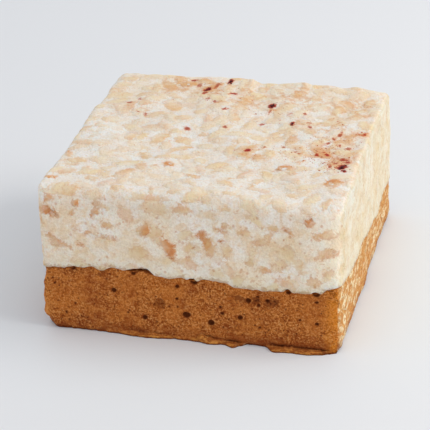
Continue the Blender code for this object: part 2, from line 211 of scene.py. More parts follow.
# Grains that stand out on the front cut: x, z, length, width, turn in degrees, tone, how bare
FRONT_GRAINS = (
    (-35.4, 31.9, 3.6, 2.4, -8, 0.80, 1.0), (-33.4, 31.3, 1.6, 2.2, 0, 0.85, 0.9),
    (-34.8, 35.0, 2.6, 1.6, 20, 0.75, 0.8), (-27.9, 34.2, 2.0, 1.8, 60, 0.72, 1.0),
    (-22.6, 32.5, 2.6, 1.5, 25, 0.68, 0.9), (-20.9, 33.7, 4.4, 1.8, -10, 0.35, 0.6),
    (-20.2, 28.9, 2.4, 1.6, 5, 0.55, 0.8), (-28.9, 31.6, 1.2, 1.0, 80, 0.60, 0.8),
    (-28.4, 27.7, 1.4, 0.9, 10, 0.60, 0.8), (-20.8, 25.8, 3.4, 0.7, 0, 0.65, 0.9),
    (-25.1, 26.8, 0.9, 0.6, 0, 0.70, 0.8), (-12.6, 22.6, 4.6, 3.0, 15, 0.30, 0.75),
    (-10.8, 28.7, 3.0, 2.4, 10, 0.66, 1.0), (-7.9, 28.1, 3.2, 3.0, 0, 0.40, 0.7),
    (-7.2, 26.3, 2.2, 1.2, -40, 0.45, 0.7), (-11.9, 36.7, 3.6, 1.8, 10, 0.42, 0.6),
    (-8.9, 34.4, 6.6, 3.2, 5, 0.32, 0.55), (-1.4, 34.3, 4.6, 2.2, 0, 0.50, 0.7),
    (-4.8, 24.1, 5.2, 2.8, -55, 0.88, 1.0), (3.5, 28.3, 3.0, 2.0, -15, 0.85, 1.0),
    (5.0, 25.6, 5.6, 2.2, -64, 0.62, 1.0), (9.1, 31.3, 2.0, 1.6, 0, 0.52, 0.95),
    (8.1, 29.9, 4.0, 0.9, -18, 0.66, 1.0), (8.4, 27.3, 1.8, 0.7, 10, 0.74, 1.0),
    (9.4, 24.9, 5.0, 2.2, -80, 0.25, 0.6), (14.2, 29.6, 1.8, 1.0, -20, 0.40, 0.7),
    (17.4, 27.4, 2.6, 1.5, 10, 0.55, 0.8), (16.1, 24.7, 3.2, 1.4, 70, 0.25, 0.7),
    (18.4, 20.7, 3.2, 1.2, -8, 0.60, 0.85), (15.4, 22.1, 2.2, 1.5, 0, 0.35, 0.7),
    (24.1, 31.3, 2.2, 1.1, -30, 0.75, 0.95), (20.9, 31.6, 2.4, 1.4, 0, 0.45, 0.7),
    (19.9, 29.3, 2.4, 1.0, 75, 0.50, 0.7), (29.6, 33.6, 2.4, 1.8, -60, 0.90, 1.0),
    (24.2, 25.1, 4.6, 3.6, -20, 0.25, 0.6), (26.9, 22.8, 3.0, 2.4, -50, 0.35, 0.6),
    (33.6, 25.6, 4.4, 2.4, 10, 0.60, 0.8), (33.5, 30.3, 4.8, 2.0, 8, 0.55, 0.8),
    (34.2, 20.3, 3.0, 2.2, 30, 0.40, 0.6), (-34.4, 24.9, 2.8, 0.9, -32, 0.65, 0.9),
    (-31.8, 23.1, 3.2, 0.9, -10, 0.60, 0.85), (-27.1, 23.3, 1.8, 0.9, -20, 0.75, 0.9),
    (9.2, 35.4, 3.0, 1.6, 0, 0.35, 0.6), (-23.8, 36.4, 4.0, 2.0, 0, 0.30, 0.5),
    (30.6, 18.3, 2.8, 2.2, 20, 0.55, 0.6), (12.8, 17.7, 2.8, 2.2, 60, 0.25, 0.6),
)

# Grains that stand out on top: x, y, length, width, turn in degrees, tone, how bare
TOP_GRAINS = (
    (-16.6, 32.8, 5.0, 3.2, 20, 0.66, 0.9), (-21.6, 31.2, 4.6, 3.2, -30, 0.48, 0.8),
    (-12.4, 34.6, 4.0, 2.4, -12, 0.60, 0.85), (-33.7, 23.0, 8.0, 5.0, 10, 0.22, 0.7),
    (-17.4, 17.6, 5.8, 4.4, -50, 0.50, 0.85), (-9.1, 15.0, 4.2, 3.0, 70, 0.30, 0.6),
    (-23.2, 6.6, 5.0, 3.8, 80, 0.25, 0.65), (-30.7, 6.6, 4.6, 4.0, 0, 0.20, 0.55),
    (-12.2, 10.1, 4.4, 3.0, 20, 0.30, 0.6), (-15.7, -3.0, 6.0, 3.6, 75, 0.38, 0.8),
    (-8.7, -3.0, 5.0, 3.4, -35, 0.36, 0.75), (-12.7, 2.0, 3.0, 2.2, 30, 0.35, 0.7),
    (-32.9, -19.2, 5.6, 2.6, 12, 0.35, 0.75), (-32.7, -21.2, 3.4, 1.4, 0, 0.50, 0.6),
    (-35.9, -15.2, 3.4, 2.0, -60, 0.72, 1.0), (-36.1, -30.6, 3.4, 1.8, 15, 0.74, 1.0),
    (-16.5, -12.9, 4.8, 2.4, -52, 0.42, 0.8), (-9.0, -17.8, 2.8, 2.2, 10, 0.72, 1.0),
    (-12.0, -19.5, 1.6, 0.8, 20, 0.70, 0.9), (-2.1, -23.5, 4.2, 1.7, -32, 0.58, 0.92),
    (-2.1, -14.5, 5.0, 3.0, 20, 0.20, 0.5), (-2.7, -5.6, 3.6, 3.0, 0, 0.25, 0.6),
    (-31.7, -5.0, 3.0, 2.0, 0, 0.30, 0.6), (-32.7, 1.0, 2.6, 2.2, 0, 0.30, 0.5),
    (7.3, -26.5, 4.4, 2.4, -20, 0.38, 0.75), (7.9, -23.6, 1.8, 1.2, 60, 0.50, 0.7),
    (14.3, -23.6, 4.4, 2.0, 75, 0.40, 0.7), (13.5, -27.8, 2.0, 0.9, 80, 0.50, 0.7),
    (19.7, -15.8, 5.4, 2.6, 20, 0.78, 1.0), (21.7, -18.2, 2.6, 1.8, -60, 0.50, 0.8),
    (22.5, -11.8, 2.2, 1.4, 80, 0.80, 1.0), (33.1, -23.0, 4.4, 3.8, 60, 0.78, 1.0),
    (27.9, -18.6, 4.0, 1.8, 80, 0.35, 0.6), (12.0, -11.5, 3.6, 2.2, -62, 0.55, 0.85),
    (8.3, -7.8, 7.6, 5.6, 80, 0.46, 0.75), (27.1, -5.6, 6.2, 3.4, -38, 0.82, 0.87),
    (5.9, -2.0, 4.0, 3.0, 0, 0.35, 0.5), (34.7, 7.1, 3.6, 1.8, 20, 0.80, 0.95),
    (26.7, 23.0, 6.8, 3.0, 78, 0.22, 0.6), (33.7, 28.5, 5.4, 2.8, 70, 0.40, 0.75),
    (26.3, 13.6, 6.6, 4.8, 0, 0.28, 0.6), (19.1, 27.5, 3.4, 3.0, 0, 0.32, 0.6),
    (13.7, 30.0, 2.8, 2.4, 40, 0.36, 0.7), (0.9, 25.5, 8.0, 3.0, 82, 0.36, 0.7),
    (0.3, 19.5, 5.0, 4.0, 0, 0.30, 0.5), (12.7, 21.5, 6.0, 4.4, 60, 0.30, 0.6),
    (-33.3, 33.6, 5.0, 2.8, 5, 0.30, 0.6), (4.0, 32.9, 3.0, 2.8, 60, 0.36, 0.7),
    (9.3, 1.0, 4.4, 3.0, -10, 0.28, 0.6), (-5.1, 1.5, 2.4, 2.0, 0, 0.35, 0.6),
    (33.3, -32.5, 4.0, 2.2, 75, 0.38, 0.7), (24.3, -30.0, 3.2, 2.0, -20, 0.40, 0.6),
    (18.3, -31.5, 3.6, 2.8, 40, 0.28, 0.6), (9.3, -32.5, 3.2, 1.8, 0, 0.35, 0.6),
    (-3.9, -33.0, 3.4, 1.8, 10, 0.38, 0.6), (-9.6, -32.5, 2.6, 1.4, -80, 0.45, 0.7),
    (-17.7, -32.8, 3.4, 1.8, 0, 0.38, 0.6), (-25.5, -29.4, 3.5, 2.2, -30, 0.28, 0.6),
)

# Places on top where the film is thick and hides the grains: x, y, size
CLEAR_PLACES = (
    (-26.0, -6.0, 9.0), (-25.0, 8.0, 6.0), (-7.0, -23.0, 7.0), (12.0, -17.0, 5.0), (-21.0, -15.0, 5.0),
    (20.0, -25.0, 5.0), (4.0, 14.0, 5.0), (22.0, 4.0, 4.0), (-2.0, -9.0, 4.0), (36.0, -20.0, 4.0),
)
CLEAR_SHARE = 0.80

# Red crumbs and their streaks on top: x, y, length, width, turn in degrees, how dark.
# The darkest also get a lump and its splinters, and the rest are stains alone.
RED_CRUMBS = (
    (33.3, -12.7, 3.2, 2.4, 80, 1.00), (34.3, -15.4, 1.6, 1.2, -60, 0.80), (31.3, -10.8, 1.8, 0.8, 70, 0.55),
    (30.3, -12.8, 2.2, 0.9, -75, 0.55), (33.0, -8.2, 2.2, 1.4, 0, 0.60), (34.3, -9.5, 1.6, 0.8, -60, 0.60),
    (8.7, 21.8, 3.0, 2.0, 90, 1.00), (8.8, 18.2, 1.8, 0.5, 88, 0.30), (-10.6, 29.5, 2.4, 1.8, 80, 1.00),
    (-10.9, 27.3, 1.8, 1.4, 90, 0.50), (-5.5, 35.0, 2.6, 1.4, 88, 0.90), (-15.7, 35.0, 1.6, 1.0, 0, 0.50),
    (-3.1, 27.8, 2.0, 1.2, 10, 0.60), (-8.6, 32.5, 2.8, 0.9, 85, 0.35), (-13.5, 32.0, 2.0, 1.2, 70, 0.20),
    (-9.2, 23.4, 1.4, 0.9, 80, 0.40), (-6.9, 21.8, 2.0, 0.8, -50, 0.40), (-3.0, 17.0, 1.5, 1.1, 60, 0.70),
    (-29.2, 17.8, 1.6, 1.2, 20, 0.40), (-27.2, 20.8, 1.2, 0.7, -60, 0.30), (-25.5, 12.8, 1.0, 0.6, -40, 0.35),
    (-23.2, 11.5, 1.9, 0.9, -75, 0.35), (8.3, 10.8, 1.2, 1.0, -60, 0.75), (16.2, 11.1, 2.4, 1.1, -80, 0.80),
    (20.5, 12.2, 0.9, 0.6, 0, 0.30), (21.0, 10.0, 2.0, 0.8, -70, 0.40), (14.3, 17.2, 1.8, 0.7, 70, 0.25),
    (18.3, 17.8, 1.2, 0.7, -80, 0.30), (-0.3, 5.8, 2.0, 1.0, -72, 0.45), (-10.0, 4.1, 1.9, 1.3, -50, 0.50),
    (35.6, 7.6, 1.3, 0.9, 80, 0.70), (29.6, 6.4, 2.6, 0.8, 75, 0.40), (28.6, 3.1, 1.2, 0.7, -60, 0.35),
    (27.2, 0.9, 1.4, 0.7, 40, 0.40), (26.5, -0.2, 0.9, 0.7, 0, 0.45), (30.5, 0.3, 1.6, 0.6, -75, 0.40),
    (32.9, -1.5, 1.8, 1.2, 70, 0.30), (8.6, -7.8, 1.7, 1.5, 30, 0.75), (28.3, -5.9, 1.4, 1.0, -70, 0.75),
    (25.9, -6.4, 1.2, 0.8, -50, 0.70), (27.2, -4.8, 1.0, 0.7, 0, 0.50), (20.4, -6.1, 0.9, 0.6, 60, 0.35),
    (21.5, -6.9, 0.8, 0.5, 0, 0.35), (16.8, -3.5, 1.4, 0.6, -50, 0.30), (12.3, -5.2, 0.9, 0.5, 80, 0.35),
)
LUMP_DARKNESS = 0.78
LUMP_SHARE = 0.50
SPLINTERS = 3
SPLINTER_SHARES = (0.16, 0.34)
SPLINTER_AWAY = 0.42
LUMP_FLATNESS = 0.40
RED_FADE = 0.0008

# Rust tinges round the crumbs: x, y, size and strength; dust: x, y, spread and count
RED_TINGES = (
    (32.1, -9.8, 3.6, 0.70), (27.3, -5.3, 3.4, 0.72), (8.3, -7.8, 3.6, 0.40), (29.8, 3.1, 4.5, 0.42),
    (20.8, -5.8, 3.5, 0.35), (-9.2, 30.1, 5.0, 0.50), (34.3, 7.2, 2.5, 0.42), (-26.7, 15.7, 5.0, 0.22),
    (18.3, 11.7, 5.0, 0.22), (8.8, 19.1, 2.2, 0.32), (12.3, -11.3, 2.0, 0.32), (-18.7, 30.6, 6.0, 0.46),
    (-0.7, 24.6, 8.0, 0.34), (30.3, 22.6, 7.0, 0.30), (27.3, 11.7, 6.0, 0.26),
    (14.3, 28.6, 8.0, 0.30),
)
DUST_CLOUDS = (
    (31.3, -10.3, 3.4, 130), (25.3, -5.3, 3.6, 80), (30.3, 3.1, 5.5, 76), (9.3, 17.6, 2.6, 16),
    (-8.7, 26.6, 6.0, 26), (19.3, -7.3, 4.5, 44), (15.3, 11.7, 8.0, 22), (9.3, -7.3, 3.5, 16),
    (0.3, -1.4, 25.0, 24),
)
DUST_RADII = (0.05, 0.13)
DUST_COARSE = 1.7
DUST_FINE_SHARE = 0.85
DUST_MARGIN = 0.002
DUST_FRONT_MARGIN = 0.003
CRUMB_SEED = 23

# Pores of the sponge's front cut, in metres: x, z and radius
FRONT_PORES = (
    (-0.0192, 0.0117, 0.00065), (-0.0115, 0.0049, 0.00065), (-0.0009, 0.0067, 0.00090),
    (0.0054, 0.0052, 0.00085), (-0.0030, 0.0142, 0.00055), (0.0126, 0.0073, 0.00065),
    (0.0146, 0.0120, 0.00070), (0.0194, 0.0124, 0.00060), (0.0082, 0.0080, 0.00050),
    (0.0316, 0.0075, 0.00050), (-0.0077, 0.0091, 0.00150), (-0.0032, 0.0108, 0.00040),
    (0.0078, 0.0097, 0.00038), (-0.0316, 0.0047, 0.00036), (0.0274, 0.0082, 0.00040),
    (0.0316, 0.0132, 0.00040), (-0.0343, 0.0123, 0.00034), (-0.0348, 0.0136, 0.00034),
    (0.0176, 0.0053, 0.00034), (-0.0030, 0.0087, 0.00030), (-0.0292, 0.0072, 0.00030),
    (0.0012, 0.0158, 0.00085), (0.0246, 0.0153, 0.00065), (0.0314, 0.0153, 0.00085),
    (-0.0294, 0.0166, 0.00060), (-0.0140, 0.0167, 0.00060), (0.0170, 0.0133, 0.00046),
    (0.0173, 0.0111, 0.00042),
)
DENT_RADIUS = 0.0012
DENT_SHADE = 0.25

# Small pores of each cut of the sponge: how many, where, how large and how dark
SIDE_PORES = 26
SIDE_PORE_RUN = 0.93
SIDE_PORE_HEIGHTS = (0.0022, 0.0140)
SIDE_PORE_SHADES = (0.6, 1.0)
FINE_PORE_RADII = (0.00014, 0.00030)
SIDE_PORE_RADII = (0.00020, 0.00060)
RIGHT_PORE_SHADE = 0.45
PORE_DEPTH_SHARE = 1.25

# The torn line at the right of the sponge's front cut, painted dark as shade, the painted shade
# close under the marshmallow at its left, and the shading of the air pockets and of the crevice over the skin
CRACK_HEIGHT = 0.0122
CRACK_SIZE = 0.0011
CRACK_ENDS = (0.0092, 0.0236)
CRACK_FADES = (0.0020, 0.0025)
CRACK_DEPTH = 0.00060
UNDER_SHADE_X = (-0.014, -0.021)
UNDER_SHADE_BELOW = (0.0030, 0.0004)
UNDER_SHADE_SHARE = 0.60
POCKET_SHADE = 0.62
CREVICE_DEPTH = 0.00060

# Upright edges of the sponge's front cut, painted lighter where light catches them, and its
# worn front corners, by their distance from the corners
RIGHT_EDGE = (0.0052, 0.0014)
LEFT_EDGE = (0.0032, 0.0010)
CORNER_EDGE = 0.0030
CORNER_DEPTHS = (-0.030, -0.036)
CORNER_WEAR = 0.0003

# How pale the back cut is beside the right one, and the heights at which the baked foot ends
BACK_PALENESS = 0.55
BAKED_HEIGHTS = (0.0040, 0.0008)

# Linear colours of the marshmallow: on top, on the cuts, in its marks, then of the red stains
TOP_WHITE = (0.90, 0.870, 0.82)
TOP_CREAM = (0.89, 0.815, 0.73)
TOP_WARM = (0.88, 0.70, 0.49)
# Cut colours, lighter than the top's: partly painted light for the weakly lit front cut
CUT_WHITE = (0.995, 0.908, 0.815)
CUT_CREAM = (0.955, 0.800, 0.61)
CUT_WARM = (0.895, 0.662, 0.410)
# Painted glow: brighter cream laid on the cuts at the right corner, as light coming through
PAINTED_CORNER_GLOW = (1.0, 0.888, 0.725)
CUT_MOTTLE = (0.90, 0.872, 0.835)
TOP_MOTTLE = (0.925, 0.895, 0.855)
# Painted shade inside the bubbles and the pits that the knife opened
PIT_SHADE_COLOUR = (0.58, 0.22, 0.060)
FLAKE_TOP = (0.82, 0.50, 0.27)
FLAKE_CUT = (0.70, 0.40, 0.22)
CRUMB_SMEAR = (0.56, 0.27, 0.10)
# Painted shade on the right cut that the lamp lights, and on the band that turns towards it
RIGHT_SHADE_TINT = (0.825, 0.84, 0.77)
TURN_SHADE_TINT = (0.95, 0.935, 0.90)
STAIN_HALO = (0.76, 0.42, 0.19)
STAIN_RUST = (0.62, 0.145, 0.040)
STAIN_BROWN = (0.42, 0.085, 0.025)
STAIN_RED = (0.40, 0.022, 0.008)
STAIN_DARK = (0.022, 0.004, 0.005)

# How far back along y the top turns warmer
WARM_REACH = (0.008, 0.036)

# Linear colours of the puffed rice
RICE_PALE = (0.86, 0.672, 0.385)
RICE_TAN = (0.80, 0.525, 0.26)
RICE_ORANGE = (0.76, 0.37, 0.155)
RICE_DEEP = (0.66, 0.26, 0.095)

# Linear colours of the sponge: its front, with painted light on its upright edges, its paler
# side and its skin, with painted shade in the gaps, the pores and the crevice
BROWN_DARK = (0.31, 0.067, 0.009)
BROWN = (0.49, 0.135, 0.018)
BROWN_LIGHT = (0.595, 0.195, 0.036)
# Painted light on the front cut's upright edges, orange at the right and tan at the left
LIT_EDGE_ORANGE = (0.80, 0.27, 0.020)
LIT_EDGE_TAN = (0.68, 0.25, 0.055)
CRUMB_LIGHT = (0.75, 0.35, 0.115)
CRUMB_DARK = (0.15, 0.026, 0.003)
# Painted shade in the torn line, the pockets and under the marshmallow, then in the pores
GAP_SHADE_COLOUR = (0.22, 0.052, 0.009)
PORE_SHADE_COLOUR = (0.115, 0.024, 0.004)
TAN_SHADE = (0.36, 0.125, 0.030)
TAN_DARK = (0.53, 0.220, 0.055)
TAN = (0.68, 0.365, 0.125)
CREAM = (0.85, 0.71, 0.44)
STREAK_ORANGE = (0.56, 0.225, 0.055)
# Dark baked skin of the foot, also painted as shade round the pores
BAKED_DARK_AND_RIM_SHADE = (0.23, 0.044, 0.007)
SKIN_ORANGE = (0.36, 0.10, 0.015)
SKIN_LIT = (0.80, 0.34, 0.070)
# Painted shade in the crevice over the skin, and the dark base line: dark skin and painted contact shadow
DARK_BASE_AND_CREVICE_SHADE = (0.090, 0.014, 0.002)

# Linear colours of the floor from the left front to the right back, painted brighter towards the
# lamp at the right, and painted cooler and lighter close to the cake against the warm light it throws
FLOOR_PAINTED_DIM = (0.790, 0.797, 0.812)
FLOOR_PAINTED_BRIGHT = (0.855, 0.855, 0.862)
FLOOR_BESIDE_PAINTED_COOL = (1.0, 1.04, 1.06)

# How far the floor's colours reach, and half its width
FLOOR_REACH = (-0.10, 0.35)
BESIDE_REACH = (0.045, 0.085)
FLOOR_HALF = 3.0

# Light: an even pale world and one large soft lamp at the right
STUDIO_COLOUR = (0.955, 0.98, 1.02)
STUDIO_STRENGTH = 0.745
KEY_PLACE = (0.60, 0.06, 0.42)
KEY_AIM = (0.0, 0.0, 0.02)
KEY_SIZE = 0.50
KEY_POWER = 2.9
KEY_COLOUR = (1.0, 0.98, 0.94)

# Camera, fitted to the photograph's frame of 430 pixels
SENSOR_WIDTH = 36.0
FRAME_PIXELS = 430.0
FOCAL_PIXELS = 1880.0
CAMERA_PLACE = (0.1054, -0.4242, 0.2331)
CAMERA_TURN = (14.25, 63.56, -1.91)
CAMERA_CLIP = (0.01, 10.0)

# Random fields: a turn that keeps their lattice out of line with the faces, and large odd
# numbers that scatter the values of its cells
SKEW = np.array(Euler((0.7, 0.5, 0.4)).to_matrix())
CELL_SCATTER = np.array([73856093, 19349663, 83492791])
SEED_SCATTER = 668265263
LAST_SCATTER = 1274126177
LOW_BITS = 0xFFFF


def smooth(value):
    """An S-shaped rise from 0 to 1 as value goes from 0 to 1."""
    t = np.clip(value, 0.0, 1.0)
    return t * t * (3.0 - 2.0 * t)


def ramp(value, low, high):
    return smooth((value - low) / (high - low))


def link(item):
    """Puts a new object into the scene."""
    bpy.context.scene.collection.objects.link(item)
    return item


def along(points, x):
    """Heights at x on a line drawn through points with soft bends."""
    xs = np.array([p[0] for p in points])
    hs = np.array([p[1] for p in points])
    k = np.clip(np.searchsorted(xs, x) - 1, 0, len(xs) - 2)
    return hs[k] + (hs[k + 1] - hs[k]) * smooth((x - xs[k]) / (xs[k + 1] - xs[k]))


def swell(x, y, z, wave, size):
    """The solids' soft unevenness at each point, up to about size either way."""
    x, y, z = np.broadcast_arrays(x, y, z)
    values = [noise.noise(Vector(p)) for p in np.stack([x, y, z], 1) / wave]
    return size * 1.6 * np.array(values)


def lattice_values(cells, seed):
    """A random value from -1 to 1 for each whole-number cell."""
    mixed = cells @ CELL_SCATTER + seed * SEED_SCATTER
    mixed = (mixed ^ (mixed >> 13)) * LAST_SCATTER
    mixed = mixed ^ (mixed >> 16)
    return 2.0 * (mixed & LOW_BITS) / LOW_BITS - 1.0


def rough(points, wave, seed):
    """Smooth random values from -1 to 1, with bumps of about wave."""
    scaled = points @ SKEW / wave
    cell = np.floor(scaled).astype(np.int64)
    part = scaled - cell
    part = part * part * (3.0 - 2.0 * part)
    total = np.zeros(len(points))
    for dx in (0, 1):
        for dy in (0, 1):
            for dz in (0, 1):
                corner = np.array([dx, dy, dz])
                weight = np.prod(np.where(corner, part, 1.0 - part), axis=1)
                total += weight * lattice_values(cell + corner, seed)
    return total


def uneven(points, layers):
    """The sum of random unevenness in layers of height, wave and seed."""
    return sum(height * rough(points, wave, seed) for height, wave, seed in layers)


# The solids' shape, worked out for many points at once


def meeting_height(x, y):
    """Top of the sponge: it follows the front line, then rolls and thins out to the back."""
    into = np.clip((y - FRONT_AT_BASE) / (BACK_AT_BASE - FRONT_AT_BASE), 0.0, 1.0)
    across = (x + HALF_WIDTH) / (2.0 * HALF_WIDTH)
    thinner = THINNER_BACK_LEFT + (THINNER_BACK_RIGHT - THINNER_BACK_LEFT) * across
    level = 0.5 * (MEETING_AT_LEFT + MEETING_AT_RIGHT)
    near_front = np.exp(-((y - FRONT_AT_BASE) / MEETING_FADE) ** 2)
    rolling = level + swell(x, y, 0.3, MEETING_WAVE, MEETING_SWELL)
    front = along(MEETING_LINE, x) + MEETING_LIFT + CORNER_LIFT * ramp(x, *CORNER_LIFT_SPAN)
    return near_front * front + (1.0 - near_front) * rolling - thinner * into ** 1.2


def ragged(x, y):
    """Fine unevenness of the line where the layers meet."""
    return uneven(np.stack([x, y, np.zeros_like(x)], 1), MEETING_UNEVEN)


def pocket_height(x, y):
    """Height of the air pockets between the layers."""
    lift = np.zeros_like(x)
    inward = (y - FRONT_AT_BASE) / AIR_POCKET_DEPTH
    for middle, half_width, height in AIR_POCKETS:
        beside = (x - middle) / half_width
        lift += height * np.exp(-beside ** 4 - inward * inward)
    return lift


def underside_height(x, y):
    """Underside of the marshmallow, lifted over the air pockets at the front."""
    return meeting_height(x, y) + ragged(x, y) - LAYER_OVERLAP + pocket_height(x, y)


def top_height(x, y):
    """Top of the marshmallow before its rim is rounded: rolling, with the back edge's line."""
    near_back = smooth((y - BACK_AT_TOP + BACK_TOP_FADE) / BACK_TOP_FADE)
    rolling = HEIGHT + swell(x, y, 0.7, TOP_WAVE, TOP_SWELL)
    return (1.0 - near_back) * rolling + near_back * along(BACK_TOP_LINE, x)


def share_to_y(v, z):
    """The y at share v, from -1 at the front cut to 1 at the back cut, at height z."""
    rise = z / HEIGHT
    front = FRONT_AT_BASE + (FRONT_AT_TOP - FRONT_AT_BASE) * rise
    back = BACK_AT_BASE + (BACK_AT_TOP - BACK_AT_BASE) * rise
    return 0.5 * (front + back) + 0.5 * v * (back - front)


def corner_reach(u, v, radius):
    """How far a point is past the start of the rounding, along x and along y."""
    past_x = np.maximum(radius - (1.0 - np.abs(u)) * HALF_WIDTH, 0.0)
    past_y = np.maximum(radius - (1.0 - np.abs(v)) * HALF_DEPTH, 0.0)
    return past_x, past_y


def place(u, v, z, radius, overhang):
    """Points at shares u and v and height z, with rounded upright edges and uneven cuts."""
    past_x, past_y = corner_reach(u, v, radius)
    reach = np.maximum(past_x, past_y)
    length = np.maximum(np.hypot(past_x, past_y), 1e-9)
    squeeze = 1.0 - reach / length
    x = u * HALF_WIDTH - np.sign(u) * past_x * squeeze
    y = share_to_y(v, z) - np.sign(v) * past_y * squeeze
    proud = (overhang + swell(x, y, z, CUT_WAVE, CUT_WOBBLE)) * (reach / radius) ** 2
    x = x + np.sign(u) * proud * past_x / length
    y = y + np.sign(v) * proud * past_y / length
    return np.stack([x, y, np.broadcast_to(z, x.shape)], 1)


def rim_drop(u, v):
    """How far the rounded rim lies below the top at shares u and v: the front rim is rounder."""
    past_x = corner_reach(u, v, RIM_OTHER)[0] / RIM_OTHER
    radius_y = np.where(v < 0.0, RIM_FRONT, RIM_OTHER)
    past_y = corner_reach(u, v, radius_y)[1] / radius_y
    past = np.minimum(np.maximum(past_x, past_y), 1.0)
    lean = past_y / np.maximum(past_x + past_y, 1e-9)
    radius = RIM_OTHER + (radius_y - RIM_OTHER) * lean
    return radius * (1.0 - np.sqrt(1.0 - past * past))


# Fine meshes of the two layers


def grid_shares(half, first_radius, last_radius, cell):
    """Grid lines as shares of half, from -1 to 1, with even steps round the arcs at both ends."""

    def arc(radius):
        steps = max(round(0.5 * math.pi * radius / cell), 3)
        return [radius * (1.0 - math.cos(0.5 * math.pi * k / steps)) / half for k in range(steps + 1)]

    left = [-1.0 + step for step in arc(first_radius)]
    right = [1.0 - step for step in reversed(arc(last_radius))]
    count = round((right[0] - left[-1]) * half / cell)
    return np.concatenate([left, np.linspace(left[-1], right[0], count + 1)[1:-1], right])


def rim_shares(shares_x, shares_y):
    """The shares u and v of the points once round the edge, seen from above anticlockwise."""
    south = [(u, -1.0) for u in shares_x[:-1]]
    east = [(1.0, v) for v in shares_y[:-1]]
    north = [(u, 1.0) for u in shares_x[:0:-1]]
    west = [(-1.0, v) for v in shares_y[:0:-1]]
    ring = np.array(south + east + north + west)
    return ring[:, 0], ring[:, 1]


def band_faces(lower, upper):
    """Four-sided faces between two closed loops of vertex numbers, facing out."""
    return np.stack([lower, np.roll(lower, -1), np.roll(upper, -1), upper], 1)


class MeshParts:
    """Vertices and faces that are gathered loop by loop."""

    def __init__(self):
        self.points = []
        self.count = 0
        self.quads = []
        self.caps = []

    def add_points(self, points):
        self.points.append(points)
        numbers = np.arange(self.count, self.count + len(points))
        self.count += len(points)
        return numbers

    def add_band(self, lower, upper):
        self.quads.append(band_faces(lower, upper))

    def make_object(self, name):
        points = np.concatenate(self.points)
        quads = np.concatenate(self.quads)
        mesh = bpy.data.meshes.new(name)
        mesh.from_pydata(points.tolist(), [], quads.tolist() + self.caps)
        mesh.update()
        mesh.shade_smooth()
        return link(bpy.data.objects.new(name, mesh))


def point_array(mesh):
    flat = np.empty(len(mesh.vertices) * 3)
    mesh.vertices.foreach_get("co", flat)
    return flat.reshape(-1, 3)


def normal_array(mesh):
    flat = np.empty(len(mesh.vertices) * 3, dtype=np.float32)
    mesh.vertex_normals.foreach_get("vector", flat)
    return flat.reshape(-1, 3).astype(float)


def set_points(mesh, points):
    mesh.vertices.foreach_set("co", points.ravel())
    mesh.update()


def set_marks(mesh, name, values):
    """Keeps up to four values for each vertex, for the material to read."""
    columns = list(values) + [np.ones(len(mesh.vertices))] * (4 - len(values))
    layer = mesh.color_attributes.new(name, "FLOAT_COLOR", "POINT")
    layer.data.foreach_set("color", np.clip(np.stack(columns, 1), 0.0, 1.0).astype(np.float32).ravel())


def undercut(parts, loop, u, v, height, radius, overhang, faces_up):
    """Loops that lead in from the rim of a hidden face, and a cap over the rest."""
    for step in UNDERCUT_STEPS:
        inner_u = u * (1.0 - step / HALF_WIDTH)
        inner_v = v * (1.0 - step / HALF_DEPTH)
        points = place(inner_u, inner_v, np.full(len(u), MEETING_AT_LEFT), radius, overhang)
        points[:, 2] = height(points[:, 0], points[:, 1])
        inner = parts.add_points(points)
        if faces_up:
            parts.add_band(loop, inner)
        else:
            parts.add_band(inner, loop)
        loop = inner
    parts.caps.append(loop.tolist() if faces_up else loop[::-1].tolist())


def crispy_mesh():
    """The marshmallow layer: rounded top, upright sides, and the start of its underside."""
    shares_x = grid_shares(HALF_WIDTH, RIM_OTHER, RIM_OTHER, CRISPY_CELL)
    shares_y = grid_shares(HALF_DEPTH, RIM_FRONT, RIM_OTHER, CRISPY_CELL)
    parts = MeshParts()
    grid_u, grid_v = (a.ravel() for a in np.meshgrid(shares_x, shares_y, indexing="ij"))
    drop = rim_drop(grid_u, grid_v)
    top = place(grid_u, grid_v, HEIGHT - drop, CRISPY_CORNER, 0.0)
    top[:, 2] = top_height(top[:, 0], top[:, 1]) - drop
    numbers = parts.add_points(top).reshape(len(shares_x), len(shares_y))
    cells = (numbers[:-1, :-1], numbers[1:, :-1], numbers[1:, 1:], numbers[:-1, 1:])
    parts.quads.append(np.stack([corner.ravel() for corner in cells], 1))

    rim = np.concatenate([
        numbers[:-1, 0], numbers[-1, :-1], numbers[:0:-1, -1], numbers[0, :0:-1],
    ])
    u, v = rim_shares(shares_x, shares_y)
    rough_low = place(u, v, np.full(len(u), MEETING_AT_LEFT), CRISPY_CORNER, 0.0)
    low = underside_height(rough_low[:, 0], rough_low[:, 1])
    high = top[rim, 2]
    rows = round(float(np.mean(high - low)) / CRISPY_CELL)
    upper = rim
    for k in range(rows - 1, -1, -1):
        share = k / rows
        lower = parts.add_points(place(u, v, low + share * (high - low), CRISPY_CORNER, 0.0))
        parts.add_band(lower, upper)
        upper = lower
    undercut(parts, upper, u, v, underside_height, CRISPY_CORNER, 0.0, False)
    return parts.make_object("marshmallow")


def along_front(points):
    """The points moved onto the x axis, so that unevenness is the same at every height."""
    return points * (1.0, 0.0, 0.0)


def skin_top(points):
    """Height of the top of the lifted skin along the front."""
    return along(SKIN_TOP_LINE, points[:, 0]) + uneven(along_front(points), SKIN_TOP_UNEVEN)


